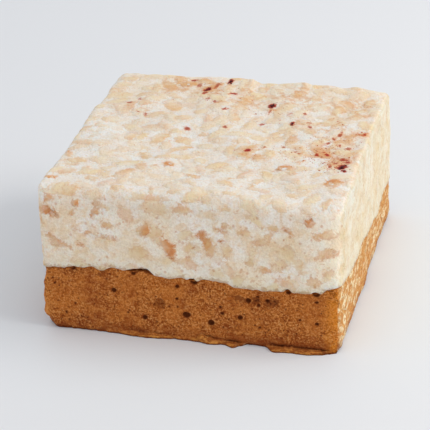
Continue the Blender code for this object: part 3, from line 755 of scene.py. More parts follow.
def sponge_side(u, v, z):
    """Points of the sponge's side, with the rounded base, the lifting skin and the chip."""
    points = place(u, v, z, SPONGE_CORNER, SPONGE_OVERHANG)
    low = np.maximum(1.0 - z / SKIN_HEIGHT, 0.0)
    inset = BASE_ROUNDING * low * low
    past_x, past_y = corner_reach(u, v, SPONGE_CORNER)
    length = np.hypot(past_x, past_y)
    points[:, 0] -= np.sign(u) * inset * past_x / length
    points[:, 1] -= np.sign(v) * inset * past_y / length
    flap_top = skin_top(points)
    lifted = ramp(z, flap_top + SKIN_STEP[1], flap_top + SKIN_STEP[0]) * (v == -1.0)
    edge = uneven(along_front(points), SKIN_EDGE_UNEVEN)
    skin_y = FRONT_AT_BASE - along(SKIN_LINE, points[:, 0]) - edge
    points[:, 1] += lifted * (skin_y - points[:, 1])
    away = np.linalg.norm(points - np.array([-HALF_WIDTH, FRONT_AT_BASE, 0.0]), axis=1)
    chip = CHIP_DEPTH * smooth(1.0 - away / CHIP_SIZE)
    return points + chip[:, None] * np.array([1.0, 0.4, 0.0])


def sponge_mesh():
    """The sponge layer: flat base, upright sides, and the start of its hidden top."""
    shares_x = grid_shares(HALF_WIDTH, SPONGE_CORNER, SPONGE_CORNER, SPONGE_CELL)
    shares_y = grid_shares(HALF_DEPTH, SPONGE_CORNER, SPONGE_CORNER, SPONGE_CELL)
    u, v = rim_shares(shares_x, shares_y)
    parts = MeshParts()

    def height(x, y):
        return meeting_height(x, y) + ragged(x, y)

    rough_top = place(u, v, np.full(len(u), MEETING_AT_LEFT), SPONGE_CORNER, SPONGE_OVERHANG)
    high = height(rough_top[:, 0], rough_top[:, 1])
    rows = round(float(np.mean(high)) / SPONGE_CELL)
    lower = parts.add_points(sponge_side(u, v, np.zeros(len(u))))
    parts.caps.append(lower[::-1].tolist())
    for k in range(1, rows + 1):
        upper = parts.add_points(sponge_side(u, v, high * k / rows))
        parts.add_band(lower, upper)
        lower = upper
    undercut(parts, lower, u, v, height, SPONGE_CORNER, SPONGE_OVERHANG, True)
    return parts.make_object("sponge_cake")


# Puffed rice


class Grain:
    """One grain under or through a surface: its middle, its axes, and how it shows.

    The axes are the grain's length, its width and the direction out of the surface. The tone goes
    from 0, pale cream, to 1, orange, and shows goes from 0, under the film, to 1, bare.
    """

    def __init__(self, centre, out, turn, size, tone, shows, cut):
        out = Vector(out)
        level = Vector((0.0, 0.0, 1.0)) if cut else Vector((0.0, 1.0, 0.0))
        along_face = level.cross(out).normalized()
        spin = Matrix.Rotation(turn, 3, out)
        length_axis = spin @ along_face
        self.axes = np.array([length_axis, out.cross(length_axis), out]).T
        self.centre = np.array(centre)
        self.half = 0.5 * np.array(size)
        self.tone = tone
        self.shows = shows
        self.cut = cut

    def bend_at(self, share):
        """How far the bent grain lies to one side, at a share of its half length."""
        return GRAIN_BEND * self.half[1] * (share * share - GRAIN_BEND_MIDDLE)


def cut_place(face, run, z):
    """A point on one of the four cuts at height z, and the direction out of it."""
    front, back = float(share_to_y(-1.0, z)), float(share_to_y(1.0, z))
    return {
        "front": ((run, front, z), (0.0, -1.0, 0.0)),
        "right": ((HALF_WIDTH, run, z), (1.0, 0.0, 0.0)),
        "back": ((run, back, z), (0.0, 1.0, 0.0)),
        "left": ((-HALF_WIDTH, run, z), (-1.0, 0.0, 0.0)),
    }[face]


def shown_grains():
    """The grains that stand out in the photograph, on the front cut and on top."""
    grains = []
    for x, z, length, width, turn, tone, shows in FRONT_GRAINS:
        centre, out = cut_place("front", x * MM, z * MM)
        size = (length * MM, width * MM, width * MM)
        grains.append(Grain(centre, out, math.radians(turn), size, tone, shows, True))
    for x, y, length, width, turn, tone, shows in TOP_GRAINS:
        size = (length * MM, width * MM, width * MM)
        up = (0.0, 0.0, 1.0)
        grains.append(Grain((x * MM, y * MM, HEIGHT), up, math.radians(turn), size, tone, shows, False))
    return grains


def random_look(draw):
    """A size, tone and show for a grain: most lie under the film and few are orange."""
    width = draw.uniform(*GRAIN_WIDTHS)
    size = (draw.uniform(*GRAIN_LENGTHS), width, width)
    tone = 0.08 + 0.62 * draw.random() ** MOSTLY_PALE
    shows = 0.10 + 0.75 * draw.random() ** MOSTLY_VEILED
    return size, tone, shows


def lattice(draw, low, high, spacing):
    """Places in a box of two directions on a jittered lattice."""
    for a in np.arange(low[0], high[0], spacing):
        for b in np.arange(low[1], high[1], spacing * GRAIN_ROW_SHARE):
            shift_a = draw.uniform(-GRAIN_JITTER, GRAIN_JITTER) * spacing
            shift_b = draw.uniform(-GRAIN_JITTER, GRAIN_JITTER) * spacing
            yield a + shift_a, b + shift_b


def all_grains():
    """The grains that stand out, then the rest over the top and the four cuts."""
    draw = random.Random(GRAIN_SEED)
    grains = shown_grains()
    shown = np.array([grain.centre for grain in grains])

    def add(centre, out, cut):
        size, tone, shows = random_look(draw)
        most = CUT_TURN if cut else TOP_TURN
        turn = draw.uniform(-most, most)
        if cut:
            length = size[0] * draw.uniform(*CUT_LENGTH_SHARES)
            size = (length, size[1] * draw.uniform(*CUT_WIDTH_SHARES), size[2])
        if np.min(np.linalg.norm(shown - centre, axis=1)) > GRAIN_CLEARANCE:
            grains.append(Grain(centre, out, turn, size, tone, shows, cut))

    for x, y in lattice(draw, (-HALF_WIDTH, FRONT_AT_TOP), (HALF_WIDTH, BACK_AT_TOP), TOP_SPACING):
        add((x, y, HEIGHT), (0.0, 0.0, 1.0), False)
    low = MEETING_AT_LEFT - THINNER_BACK_RIGHT
    for face in FACES:
        for run, z in lattice(draw, (-HALF_WIDTH, low), (HALF_WIDTH, HEIGHT - MM), CUT_SPACING):
            add(*cut_place(face, run, z), True)
    return grains


def grain_fields(points, normals, grains):
    """For each point: how far inside a grain it is, and that grain's tone, show and dome.

    Where grains overlap, the barest one counts. Each grain goes under the film at one side.
    """
    tree = kdtree.KDTree(len(points))
    for number, point in enumerate(points):
        tree.insert(point, number)
    tree.balance()
    inside = np.full(len(points), -GRAIN_FADE)
    best = np.full(len(points), -GRAIN_FADE)
    tone, shows, dome = np.zeros(len(points)), np.zeros(len(points)), np.zeros(len(points))
    warp = 1.0 + uneven(points, GRAIN_UNEVEN)
    draw = random.Random(GRAIN_SEED + 3)
    for grain in grains:
        lean = draw.uniform(0.0, 2.0 * math.pi)
        reach = float(grain.half[0]) + GRAIN_FADE
        found = np.array([number for _, number, _ in tree.find_range(Vector(grain.centre), reach)])
        if not len(found):
            continue
        facing = normals[found] @ grain.axes[:, 2]
        found = found[facing > GRAIN_FACING]
        local = (points[found] - grain.centre) @ grain.axes
        a = local[:, 0] / grain.half[0]
        b = (local[:, 1] + grain.bend_at(a)) / grain.half[1]
        radius = np.sqrt(a * a + b * b) * warp[found]
        depth = (1.0 - radius) * grain.half[1]
        rank = np.where(depth > -GRAIN_OVERLAP_EDGE, depth + GRAIN_BARE_RANK * grain.shows, depth)
        better = rank > best[found]
        chosen = found[better]
        best[chosen] = rank[better]
        inside[chosen] = depth[better]
        slope = np.clip(a * math.cos(lean) + b * math.sin(lean), -1.0, 1.0)[better]
        tone[chosen] = grain.tone - GRAIN_SHADE * slope
        shows[chosen] = grain.shows * (1.0 - GRAIN_VEIL * ramp(slope, -0.2, 0.9))
        dome[chosen] = np.sqrt(np.clip(1.0 - radius[better] ** 2, 0.0, 1.0))
    return inside, tone, shows, dome


def cut_pits():
    """Small dark bubbles that the knife opened in the four cuts of the marshmallow."""
    draw = random.Random(GRAIN_SEED + 2)
    low = MEETING_AT_LEFT - PIT_BELOW_MEETING
    smallest, largest = CUT_PIT_RADII
    pits = []
    for face in FACES:
        for _ in range(CUT_PITS):
            run = draw.uniform(-PIT_RUN, PIT_RUN) * HALF_WIDTH
            z = draw.uniform(low, HEIGHT - PIT_BELOW_TOP)
            radius = smallest + (largest - smallest) * draw.random() ** 2
            pits.append((face, run, z, radius, draw.uniform(*PIT_SHADES)))
    return pits


def spot_fields(points, normals, spots):
    """For each point: its depth in a round hollow, how far inside its edge it is, and its shade."""
    bend = 1.0 + uneven(points, SPOT_UNEVEN)
    deep, shade = np.zeros(len(points)), np.zeros(len(points))
    inside = np.full(len(points), -SPOT_FADE)
    for face, run, z, radius, darkness in spots:
        centre, out = cut_place(face, run, z)
        facing = np.nonzero(normals @ np.array(out) > SPOT_FACING)[0]
        offset = points[facing] - centre
        offset -= np.outer(offset @ np.array(out), out)
        close = np.abs(offset).max(axis=1) < radius + 3.0 * SPOT_FADE
        facing, offset = facing[close], offset[close]
        away = np.linalg.norm(offset * (1.0, 1.0, 1.2), axis=1) / radius * bend[facing]
        deep[facing] = np.maximum(deep[facing], ramp(away, 1.25, 0.45) * min(radius, SPOT_DEEPEST))
        edge = (1.0 - away) * radius
        chosen = edge > inside[facing]
        inside[facing[chosen]] = edge[chosen]
        shade[facing[chosen]] = darkness
    return deep, 0.5 + 0.5 * inside / SPOT_FADE, shade


def corner_bend(points, above):
    """How far the marshmallow's front cut bends back towards the right corner."""
    past_front = points[:, 1] - share_to_y(-1.0, points[:, 2])
    toward_corner = np.clip((points[:, 0] - BEND_FROM) / (HALF_WIDTH - BEND_FROM), 0.0, 1.0)
    bend = toward_corner ** BEND_POWER * ramp(past_front, BEND_REACH, 0.0)
    return BEND_DEPTH * bend * ramp(above, 0.0, BEND_FOOT)


def grain_relief(points, topness, shows, dome):
    """Low domes over the grains on top, and the hollows and lips of those that are cut."""
    on_top = TOP_GRAIN_RELIEF * (dome - 0.35)
    hollow = np.where(rough(points, CUT_HOLLOW_WAVE, CUT_HOLLOW_SEED) > -0.1, CUT_HOLLOW, 1.0)
    bare = shows * (1.0 + BARE_CUT_BOOST * ramp(shows, 0.80, 0.95))
    on_cut = CUT_GRAIN_RELIEF * hollow * np.clip(dome * 1.8, 0.0, 1.0) * bare
    return topness * on_top + (1.0 - topness) * on_cut


def shape_crispy(item, grains):
    """Adds the relief of film, grains and bubbles, and keeps the marks for the material."""
    mesh = item.data
    points = point_array(mesh)
    normals = normal_array(mesh)
    inside, tone, shows, dome = grain_fields(points, normals, grains)
    above = points[:, 2] - meeting_height(points[:, 0], points[:, 1])
    points[:, 1] += corner_bend(points, above)
    topness = ramp(normals[:, 2], *TOP_FACING)
    shows *= 1.0 - topness * clear_field(points) * ramp(shows, 0.80, 0.60)
    deep, pit_edge, pit_shade = spot_fields(points, normals, cut_pits())
    relief = grain_relief(points, topness, shows, dome) + uneven(points, FILM_UNEVEN)
    relief -= PIT_DEPTH_SHARE * deep
    relief *= np.maximum(ramp(above, 0.0002, 0.0020), 0.3)
    set_points(mesh, points + normals * relief[:, None])

    red, dark, tinge = red_fields(points)
    near_rim = ramp(points[:, 2], *RIM_HEIGHTS)
    # Painted glow: the right ends of the cuts count as turned to the light, for brighter cream there
    glow = PAINTED_GLOW * ramp(points[:, 0], PAINTED_GLOW_FROM, HALF_WIDTH)
    set_marks(mesh, "grains", (0.5 + 0.5 * inside / GRAIN_FADE, tone, shows))
    set_marks(mesh, "places", (1.0 - topness, above / ABOVE_SPONGE, pit_edge))
    set_marks(mesh, "stains", ((0.5 + 0.5 * red / RED_FADE) * topness, dark, tinge * topness))
    set_marks(mesh, "light", (np.maximum(normals[:, 0], glow), near_rim, pit_shade))


def clear_field(points):
    """How far thick film hides the grains on top."""
    clear = np.zeros(len(points))
    for x, y, size in CLEAR_PLACES:
        away = np.hypot(points[:, 0] - x * MM, points[:, 1] - y * MM) / (size * MM)
        clear = np.maximum(clear, CLEAR_SHARE * np.exp(-away ** 4))
    return clear


def red_fields(points):
    """For each point: how far inside a red crumb it is, how dark that one is, and the tinge."""
    inside, dark = np.full(len(points), -RED_FADE), np.zeros(len(points))
    for x, y, length, width, turn, darkness in RED_CRUMBS:
        offset = points[:, :2] - (x * MM, y * MM)
        near = np.nonzero(np.abs(offset).max(axis=1) < 0.5 * length * MM + 2.0 * RED_FADE)[0]
        a = offset[near] @ (math.cos(math.radians(turn)), math.sin(math.radians(turn)))
        b = offset[near] @ (-math.sin(math.radians(turn)), math.cos(math.radians(turn)))
        radius = np.hypot(a / (0.5 * length * MM), b / (0.5 * width * MM))
        depth = (1.0 - radius) * 0.5 * math.sqrt(length * width) * MM
        chosen = depth > inside[near]
        inside[near[chosen]] = depth[chosen]
        dark[near[chosen]] = darkness
    tinge = np.zeros(len(points))
    for x, y, size, strength in RED_TINGES:
        away = np.hypot(points[:, 0] - x * MM, points[:, 1] - y * MM) / (size * MM)
        tinge = np.maximum(tinge, strength * np.exp(-away ** 2))
    return inside, dark, tinge


def bare_grain(grain, unit, draw):
    """The shape of one bare grain about its middle: bent, wrinkled and low."""
    seed = draw.randrange(1000)
    wrinkle = 1.0 + 0.12 * rough(unit + seed, 0.55, seed) + 0.06 * rough(unit + seed, 0.25, seed)
    local = unit * wrinkle[:, None] * grain.half * BARE_SHRINK
    local[:, 1] -= grain.bend_at(local[:, 0] / grain.half[0])
    upper = local[:, 2] > 0.0
    local[:, 2] = np.where(upper, local[:, 2] * BARE_DOME / grain.half[2], local[:, 2])
    local[:, 2] += BARE_PROUD - BARE_DOME
    return local


def rice_mesh(grains, surface):
    """The barest grains on top, sunk so that only their backs come through."""
    draw = random.Random(GRAIN_SEED + 1)
    unit, faces = ball(level=3)
    shapes, tones, heights = [], [], []
    for grain in grains:
        inland_x = HALF_WIDTH - abs(grain.centre[0])
        inland_y = min(grain.centre[1] - FRONT_AT_TOP, BACK_AT_TOP - grain.centre[1])
        if grain.cut or grain.shows < BARE_SHOW or min(inland_x, inland_y) < BARE_MARGIN:
            continue
        local = bare_grain(grain, unit, draw)
        top = height_over(surface, grain.centre[0], grain.centre[1])
        points = np.array([grain.centre[0], grain.centre[1], top]) + local @ grain.axes.T
        for point in points:
            near, near_normal, _, _ = surface.find_nearest(Vector(point))
            heights.append((Vector(point) - near).dot(near_normal) / BARE_DOME)
        shapes.append((points, faces))
        tones.append(np.full(len(points), grain.tone))
    rice = joined_pieces("puffed_rice", shapes)
    rice.data.shade_smooth()
    set_marks(rice.data, "rice", (np.concatenate(tones), np.array(heights)))
    return rice


# Sponge


def sponge_pores():
    """Pores with a face, a place along it, a height, a radius and how dark they are."""
    draw = random.Random(GRAIN_SEED)
    pores = []
    for x, z, radius in FRONT_PORES:
        pores.append(("front", x, z, radius, DENT_SHADE if radius > DENT_RADIUS else 1.0))
    for face in FACES:
        for _ in range(SIDE_PORES):
            run = draw.uniform(-SIDE_PORE_RUN, SIDE_PORE_RUN) * HALF_WIDTH
            radii = FINE_PORE_RADII if face == "front" else SIDE_PORE_RADII
            shade = RIGHT_PORE_SHADE if face == "right" else draw.uniform(*SIDE_PORE_SHADES)
            pores.append((face, run, draw.uniform(*SIDE_PORE_HEIGHTS), draw.uniform(*radii), shade))
    return pores


def torn_line(points, front):
    """How deep each point is in the torn line at the right of the front cut, from 0 to 1: for its
    groove and its painted shade.
    """
    x, z = points[:, 0], points[:, 2]
    start, end = CRACK_ENDS
    depth = np.exp(-((z - CRACK_HEIGHT - uneven(points, CRACK_UNEVEN)) / CRACK_SIZE) ** 2) * front
    depth *= ramp(x, start, start + CRACK_FADES[0]) * ramp(x, end, end - CRACK_FADES[1])
    return depth * (0.72 + uneven(points, CRACK_BREAKS))


def shade_under_marshmallow(points, front):
    """Painted shade in patches close under the marshmallow at the left of the front cut."""
    below_top = meeting_height(points[:, 0], points[:, 1]) - points[:, 2]
    patches = ramp(below_top, *UNDER_SHADE_BELOW) * ramp(points[:, 0], *UNDER_SHADE_X) * front
    return UNDER_SHADE_SHARE * patches * (0.5 + uneven(points, UNDER_SHADE_BREAKS))


def open_pockets(points, normals):
    """The shaded tops of the sponge inside the air pockets."""
    open_at = ramp(pocket_height(points[:, 0], points[:, 1]), 0.00015, 0.00050)
    return POCKET_SHADE * open_at * ramp(normals[:, 2], 0.2, 0.6) * ramp(points[:, 2], 0.0080, 0.0120)


def painted_lit_edges(points, front):
    """The two upright edges of the front cut, painted lighter where light catches them."""
    right = ramp(points[:, 0], HALF_WIDTH - RIGHT_EDGE[0], HALF_WIDTH - RIGHT_EDGE[1])
    left = ramp(points[:, 0], LEFT_EDGE[0] - HALF_WIDTH, LEFT_EDGE[1] - HALF_WIDTH)
    return np.maximum(right, left) * front


def corner_relief(points):
    """Rougher crumb at the two front corners, worn back a little."""
    near = ramp(np.abs(points[:, 0]), HALF_WIDTH - CORNER_EDGE, HALF_WIDTH)
    near *= ramp(points[:, 1], *CORNER_DEPTHS)
    return near * (uneven(points, CORNER_UNEVEN) - CORNER_WEAR)


def shape_sponge(item):
    """Cuts pores and the torn line, roughens the crumb, and keeps the marks for the material."""
    mesh = item.data
    points = point_array(mesh)
    normals = normal_array(mesh)
    front = ramp(-normals[:, 1], 0.3, 0.7)
    hollow, pore_edge, pore_shade = spot_fields(points, normals, sponge_pores())
    crack = torn_line(points, front)
    flap_top = skin_top(points)
    over_flap = (points[:, 2] - flap_top - FLAP_GAP_LIFT) / FLAP_GAP
    lifts = ramp(along(SKIN_LINE, points[:, 0]), -0.0006, 0.0012)
    crevice = np.exp(-2.0 * over_flap ** 2) * lifts
    relief = uneven(points, CRUMB_UNEVEN) + corner_relief(points) - PORE_DEPTH_SHARE * hollow
    relief -= CRACK_DEPTH * crack + CREVICE_DEPTH * crevice * front
    relief *= ramp(points[:, 2], 0.0, 0.0006)
    set_points(mesh, points + normals * relief[:, None])

    # Painted shade: the torn line, the open pockets and the patches under the marshmallow
    gap_shade = np.maximum(np.maximum(crack, open_pockets(points, normals)), shade_under_marshmallow(points, front))
    right = np.maximum(ramp(normals[:, 0], 0.3, 0.8), BACK_PALENESS * ramp(normals[:, 1], 0.3, 0.8))
    set_marks(mesh, "sponge", (gap_shade, right, ramp(points[:, 2], *BAKED_HEIGHTS)))
    shown_lifts = lifts * front * (0.75 + uneven(points, SKIN_BREAKS))
    set_marks(mesh, "pores", (pore_edge, pore_shade, shown_lifts))
    out_of_cut = share_to_y(-1.0, points[:, 2]) - points[:, 1]
    ledge = ramp(out_of_cut, -0.0006, 0.0004)
    ledge *= ramp(points[:, 2], flap_top + SKIN_STEP[1], flap_top + SKIN_STEP[0])
    set_marks(mesh, "skin", (ledge, 0.5 + 0.25 * over_flap, painted_lit_edges(points, front)))


# Crumbs


def joined_pieces(name, shapes):
    """One mesh from many small vertex and triangle arrays."""
    points, faces, start = [], [], 0
    for shape_points, shape_faces in shapes:
        points.append(shape_points)
        faces.append(shape_faces + start)
        start += len(shape_points)
    mesh = bpy.data.meshes.new(name)
    mesh.from_pydata(np.concatenate(points).tolist(), [], np.concatenate(faces).tolist())
    mesh.update()
    return link(bpy.data.objects.new(name, mesh))


def ball(level):
    """Vertices and triangles of a unit ball."""
    bm = bmesh.new()
    bmesh.ops.create_icosphere(bm, subdivisions=level, radius=1.0)
    points = np.array([vert.co[:] for vert in bm.verts])
    faces = np.array([[vert.index for vert in face.verts] for face in bm.faces])
    bm.free()
    return points, faces


def height_over(surface, x, y):
    """Height of the marshmallow's top at x and y."""
    hit = surface.ray_cast(Vector((x, y, 2.0 * HEIGHT)), Vector((0.0, 0.0, -1.0)))
    return hit[0].z if hit[0] else HEIGHT


def red_crumbs(surface):
    """The larger crumbs: flat angular lumps, each with a few splinters beside it."""
    draw = random.Random(CRUMB_SEED)
    unit, faces = ball(level=3)
    shapes = []
    for x, y, length, width, turn, darkness in RED_CRUMBS:
        if darkness < LUMP_DARKNESS:
            continue
        for k in range(SPLINTERS + 1):
            share = LUMP_SHARE if k == 0 else draw.uniform(*SPLINTER_SHARES)
            away = 0.0 if k == 0 else SPLINTER_AWAY * length * MM
            angle = math.radians(turn) + draw.choice((0.0, math.pi)) + draw.uniform(-0.7, 0.7)
            at_x, at_y = x * MM + away * math.cos(angle), y * MM + away * math.sin(angle)
            half = 0.5 * MM * share * np.array([length, width, LUMP_FLATNESS * width])
            spin = np.array(Euler((0.0, 0.0, math.radians(turn) + draw.uniform(-0.3, 0.3))).to_matrix())
            seed = draw.randrange(1000)
            lumps = 1.0 + 0.34 * rough(unit + seed, 0.9, seed) + 0.26 * rough(unit + seed, 0.4, seed)
            points = (unit * lumps[:, None] * half) @ spin.T
            shapes.append((points + (at_x, at_y, height_over(surface, at_x, at_y)), faces))
    return joined_pieces("red_crumbs", shapes)


def red_dust(surface):
    """Fine specks between the crumbs, thickest by the large ones at the right and the back."""
    draw = random.Random(CRUMB_SEED + 1)
    unit, faces = ball(level=1)
    shapes = []
    for cloud_x, cloud_y, spread, count in DUST_CLOUDS:
        for _ in range(count):
            x, y = draw.gauss(cloud_x, spread) * MM, draw.gauss(cloud_y, spread) * MM
            on_top = FRONT_AT_TOP + DUST_FRONT_MARGIN < y < BACK_AT_TOP - DUST_MARGIN
            if abs(x) > HALF_WIDTH - DUST_MARGIN or not on_top:
                continue
            size = draw.uniform(*DUST_RADII) * MM
            size *= 1.0 if draw.random() < DUST_FINE_SHARE else DUST_COARSE
            lumps = np.array([[draw.uniform(0.6, 1.3)] for _ in unit])
            stretch = np.array([draw.uniform(0.9, 1.9), draw.uniform(0.8, 1.2), 0.7])
            points = unit * lumps * stretch * size
            shapes.append((points + (x, y, height_over(surface, x, y)), faces))
    return joined_pieces("red_dust", shapes)


# Materials


class Nodes:
    """Short calls for building a material's nodes."""

    def __init__(self, name):
        self.material = bpy.data.materials.new(name)
        self.material.use_nodes = True
        self.tree = self.material.node_tree
        self.shader = self.tree.nodes["Principled BSDF"]
        self.place = self.add("ShaderNodeTexCoord").outputs["Object"]

    def add(self, kind, **settings):
        node = self.tree.nodes.new(kind)
        for key, value in settings.items():
            setattr(node, key, value)
        return node

    def feed(self, socket, value):
        if isinstance(value, bpy.types.NodeSocket):
            self.tree.links.new(value, socket)
        elif isinstance(value, tuple) and socket.type == "RGBA":
            socket.default_value = (*value, 1.0)
        else:
            socket.default_value = value

    def marks(self, name):
        """The three values of a mesh's marks."""
        source = self.add("ShaderNodeAttribute", attribute_name=name)
        split = self.add("ShaderNodeSeparateColor")
        self.feed(split.inputs["Color"], source.outputs["Color"])
        return split.outputs["Red"], split.outputs["Green"], split.outputs["Blue"]

    def axes(self):
        """The place along X, Y and Z."""
        split = self.add("ShaderNodeSeparateXYZ")
        self.feed(split.inputs["Vector"], self.place)
        return split.outputs["X"], split.outputs["Y"], split.outputs["Z"]

    def moved(self, shift, stretch=(1.0, 1.0, 1.0)):
        """The place shifted and stretched, so that two patterns differ."""
        if not shift:
            return self.place
        node = self.add("ShaderNodeMapping")
        self.feed(node.inputs["Vector"], self.place)
        self.feed(node.inputs["Location"], (shift, shift, shift))
        self.feed(node.inputs["Scale"], stretch)
        return node.outputs["Vector"]

    def noise(self, size, detail=2.0, bend=0.0, shift=0.0, stretch=(1.0, 1.0, 1.0)):
        """Noise from 0 to 1, with features of about size metres."""
        node = self.add("ShaderNodeTexNoise")
        self.feed(node.inputs["Vector"], self.moved(shift, stretch))
        self.feed(node.inputs["Scale"], 1.0 / size)
        self.feed(node.inputs["Detail"], detail)
        self.feed(node.inputs["Distortion"], bend)
        return node.outputs["Fac"]

    def patches(self, low, high, *noise):
        """Noise drawn apart into patches: 0 where it is below low, 1 where it is above high."""
        return self.map(self.noise(*noise), low, high)

    def dots(self, size, inner, outer, shift=0.0):
        """Round dots about size metres apart, full inside inner and gone outside outer."""
        node = self.add("ShaderNodeTexVoronoi")
        self.feed(node.inputs["Vector"], self.moved(shift))
        self.feed(node.inputs["Scale"], 1.0 / size)
        return self.map(node.outputs["Distance"], inner, outer, 1.0, 0.0)

    def map(self, value, low, high, to_low=0.0, to_high=1.0):
        """The value carried from the range low to high over to the range to_low to to_high."""
        node = self.add("ShaderNodeMapRange")
        for name, number in (("Value", value), ("From Min", low), ("From Max", high),
                             ("To Min", to_low), ("To Max", to_high)):
            self.feed(node.inputs[name], number)
        return node.outputs["Result"]

    def math(self, operation, a, b=0.0, clamp=False):
        node = self.add("ShaderNodeMath", operation=operation, use_clamp=clamp)
        self.feed(node.inputs[0], a)
        self.feed(node.inputs[1], b)
        return node.outputs[0]

    def times(self, *values):
        """The product of several values, kept from 0 to 1."""
        result = values[0]
        for value in values[1:]:
            result = self.math("MULTIPLY", result, value, clamp=True)
        return result

    def plus(self, a, b, scale=1.0):
        return self.math("ADD", a, self.math("MULTIPLY", b, scale))

    def mix(self, share, a, b, blend="MIX"):
        node = self.add("ShaderNodeMix", data_type="RGBA", blend_type=blend)
        for name, value in (("Factor_Float", share), ("A_Color", a), ("B_Color", b)):
            self.feed(next(s for s in node.inputs if s.identifier == name), value)
        return next(s for s in node.outputs if s.identifier == "Result_Color")

    def over(self, colour, paint, *shares):
        """The colour with paint laid over it, as thickly as the product of the shares."""
        return self.mix(self.times(*shares), colour, paint)

    def tint(self, colour, filter_colour, share):
        """The colour seen through a filter, by the share."""
        return self.mix(share, colour, filter_colour, "MULTIPLY")

    def bump(self, height, distance, strength=1.0):
        node = self.add("ShaderNodeBump")
        self.feed(node.inputs["Height"], height)
        self.feed(node.inputs["Distance"], distance)
        self.feed(node.inputs["Strength"], strength)
        return node.outputs["Normal"]

    def scatter(self, weight, scale, radius):
        self.shader.inputs["Subsurface Weight"].default_value = weight
        self.shader.inputs["Subsurface Scale"].default_value = scale
        self.shader.inputs["Subsurface Radius"].default_value = radius

    def finish(self, colour, normal, roughness, gloss=0.5):
        self.shader.inputs["Specular IOR Level"].default_value = gloss
        self.feed(self.shader.inputs["Base Color"], colour)
        self.feed(self.shader.inputs["Roughness"], roughness)
        self.feed(self.shader.inputs["Normal"], normal)
        return self.material


# Marshmallow and puffed rice. Each noise is given by size, detail, bend and shift, then stretch.


def film_colour(nodes, side):
    """White marshmallow: cooler and clearer in some places, creamier in others, and lighter on the
    cuts than on top, partly as painted light.
    """
    broad = nodes.patches(0.36, 0.64, 0.0075, 2.0, 0.6, 0.31)
    fine = nodes.patches(0.47, 0.62, 0.0026, 4.0, 0.8, 0.57)
    mottle = nodes.patches(0.42, 0.60, 0.00050, 5.0, 0.5, 0.05)
    toward_back = nodes.map(nodes.axes()[1], *WARM_REACH, 0.0, 0.36)
    top = nodes.mix(broad, TOP_WHITE, TOP_CREAM)
    top = nodes.over(top, TOP_WARM, fine, 0.50)
    top = nodes.tint(top, TOP_MOTTLE, mottle)
    top = nodes.over(top, TOP_WARM, toward_back)
    cut = nodes.mix(broad, CUT_WHITE, CUT_CREAM)
    cut = nodes.over(cut, CUT_WARM, fine, 0.62)
    cut = nodes.tint(cut, CUT_MOTTLE, mottle)
    return nodes.mix(side, top, cut)


def film_by_place(nodes, side, above, near_rim, facing_right_or_glow):
    """The film with the top's colour up to the rim, creamier by the sponge, and with a painted glow
    of light at the right corner.
    """
    lower_side = nodes.times(side, nodes.map(near_rim, 0.0, 1.0, 1.0, 0.25))
    colour = film_colour(nodes, lower_side)
    colour = nodes.over(colour, CUT_CREAM, side, nodes.map(above, 0.0, 1.0, 0.55, 0.0))
    corner_glow = nodes.times(nodes.map(facing_right_or_glow, 0.02, 0.32), nodes.map(facing_right_or_glow, 0.90, 0.55))
    return nodes.over(colour, PAINTED_CORNER_GLOW, side, corner_glow, 0.75)


def rice_colour(nodes, tone):
    """Puffed rice from pale cream over tan to orange, mottled."""
    mottle = nodes.map(nodes.noise(0.0013, 4.0, 0.5, 0.83), 0.32, 0.68, -0.16, 0.16)
    shade = nodes.math("ADD", tone, mottle)
    colour = nodes.mix(nodes.map(shade, 0.10, 0.45), RICE_PALE, RICE_TAN)
    colour = nodes.over(colour, RICE_ORANGE, nodes.map(shade, 0.45, 0.80))
    return nodes.over(colour, RICE_DEEP, nodes.map(shade, 0.75, 1.05))


def ragged_depth(nodes, inside):
    """How far inside a grain's ragged edge a point is, in millimetres."""
    depth = nodes.map(inside, 0.0, 1.0, -GRAIN_FADE / MM, GRAIN_FADE / MM)
    ragged_edge = nodes.plus(nodes.noise(0.0010, 5.0, 1.0), nodes.noise(0.0035, 2.0), 0.8)
    return nodes.plus(depth, nodes.math("SUBTRACT", ragged_edge, 0.9), 2.7)


def grain_cover(nodes, crisp, depth, shows, facing_right_or_glow):
    """How much rice shows: bare where the film is thin, veiled with a soft edge elsewhere."""
    soft = nodes.map(depth, -0.45, 0.35)
    film = nodes.patches(0.36, 0.60, 0.0022, 4.0, 0.7, 0.11)
    thin = nodes.math("MAXIMUM", nodes.map(film, 0.0, 1.0, 0.30, 1.1), nodes.map(shows, 0.82, 1.0))
    bare = nodes.times(crisp, nodes.map(shows, 0.35, 0.95), thin)
    through_film = nodes.map(film, 0.0, 1.0, 0.70, 1.0)
    veiled = nodes.times(soft, nodes.map(shows, 0.0, 1.0, 0.24, 1.0), through_film)
    shown = nodes.math("MAXIMUM", bare, veiled)
    return nodes.times(shown, nodes.map(facing_right_or_glow, *TURNED_RIGHT, 1.0, 0.42))


def flaked(nodes, colour, side, depth, shows, facing_right_or_glow):
    """Torn flakes: thin broken lines round the grains, and loose ones between them."""
    flake = nodes.mix(side, FLAKE_TOP, FLAKE_CUT)
    edge_line = nodes.times(nodes.map(depth, -0.22, -0.02), nodes.map(depth, 0.24, 0.06))
    wisps = nodes.patches(0.44, 0.54, 0.0026, 3.0, 0.5, 0.65)
    by_show = nodes.map(shows, 0.10, 0.60, 0.2, 1.0)
    on_right = nodes.map(facing_right_or_glow, *TURNED_RIGHT, 0.50, 0.15)
    colour = nodes.over(colour, flake, edge_line, wisps, by_show, on_right)
    loose = nodes.patches(0.63, 0.70, 0.0016, 3.0, 1.2, 0.19, (1.0, 1.0, 1.5))
    return nodes.over(colour, flake, loose, nodes.map(facing_right_or_glow, *TURNED_RIGHT, 0.55, 0.12))


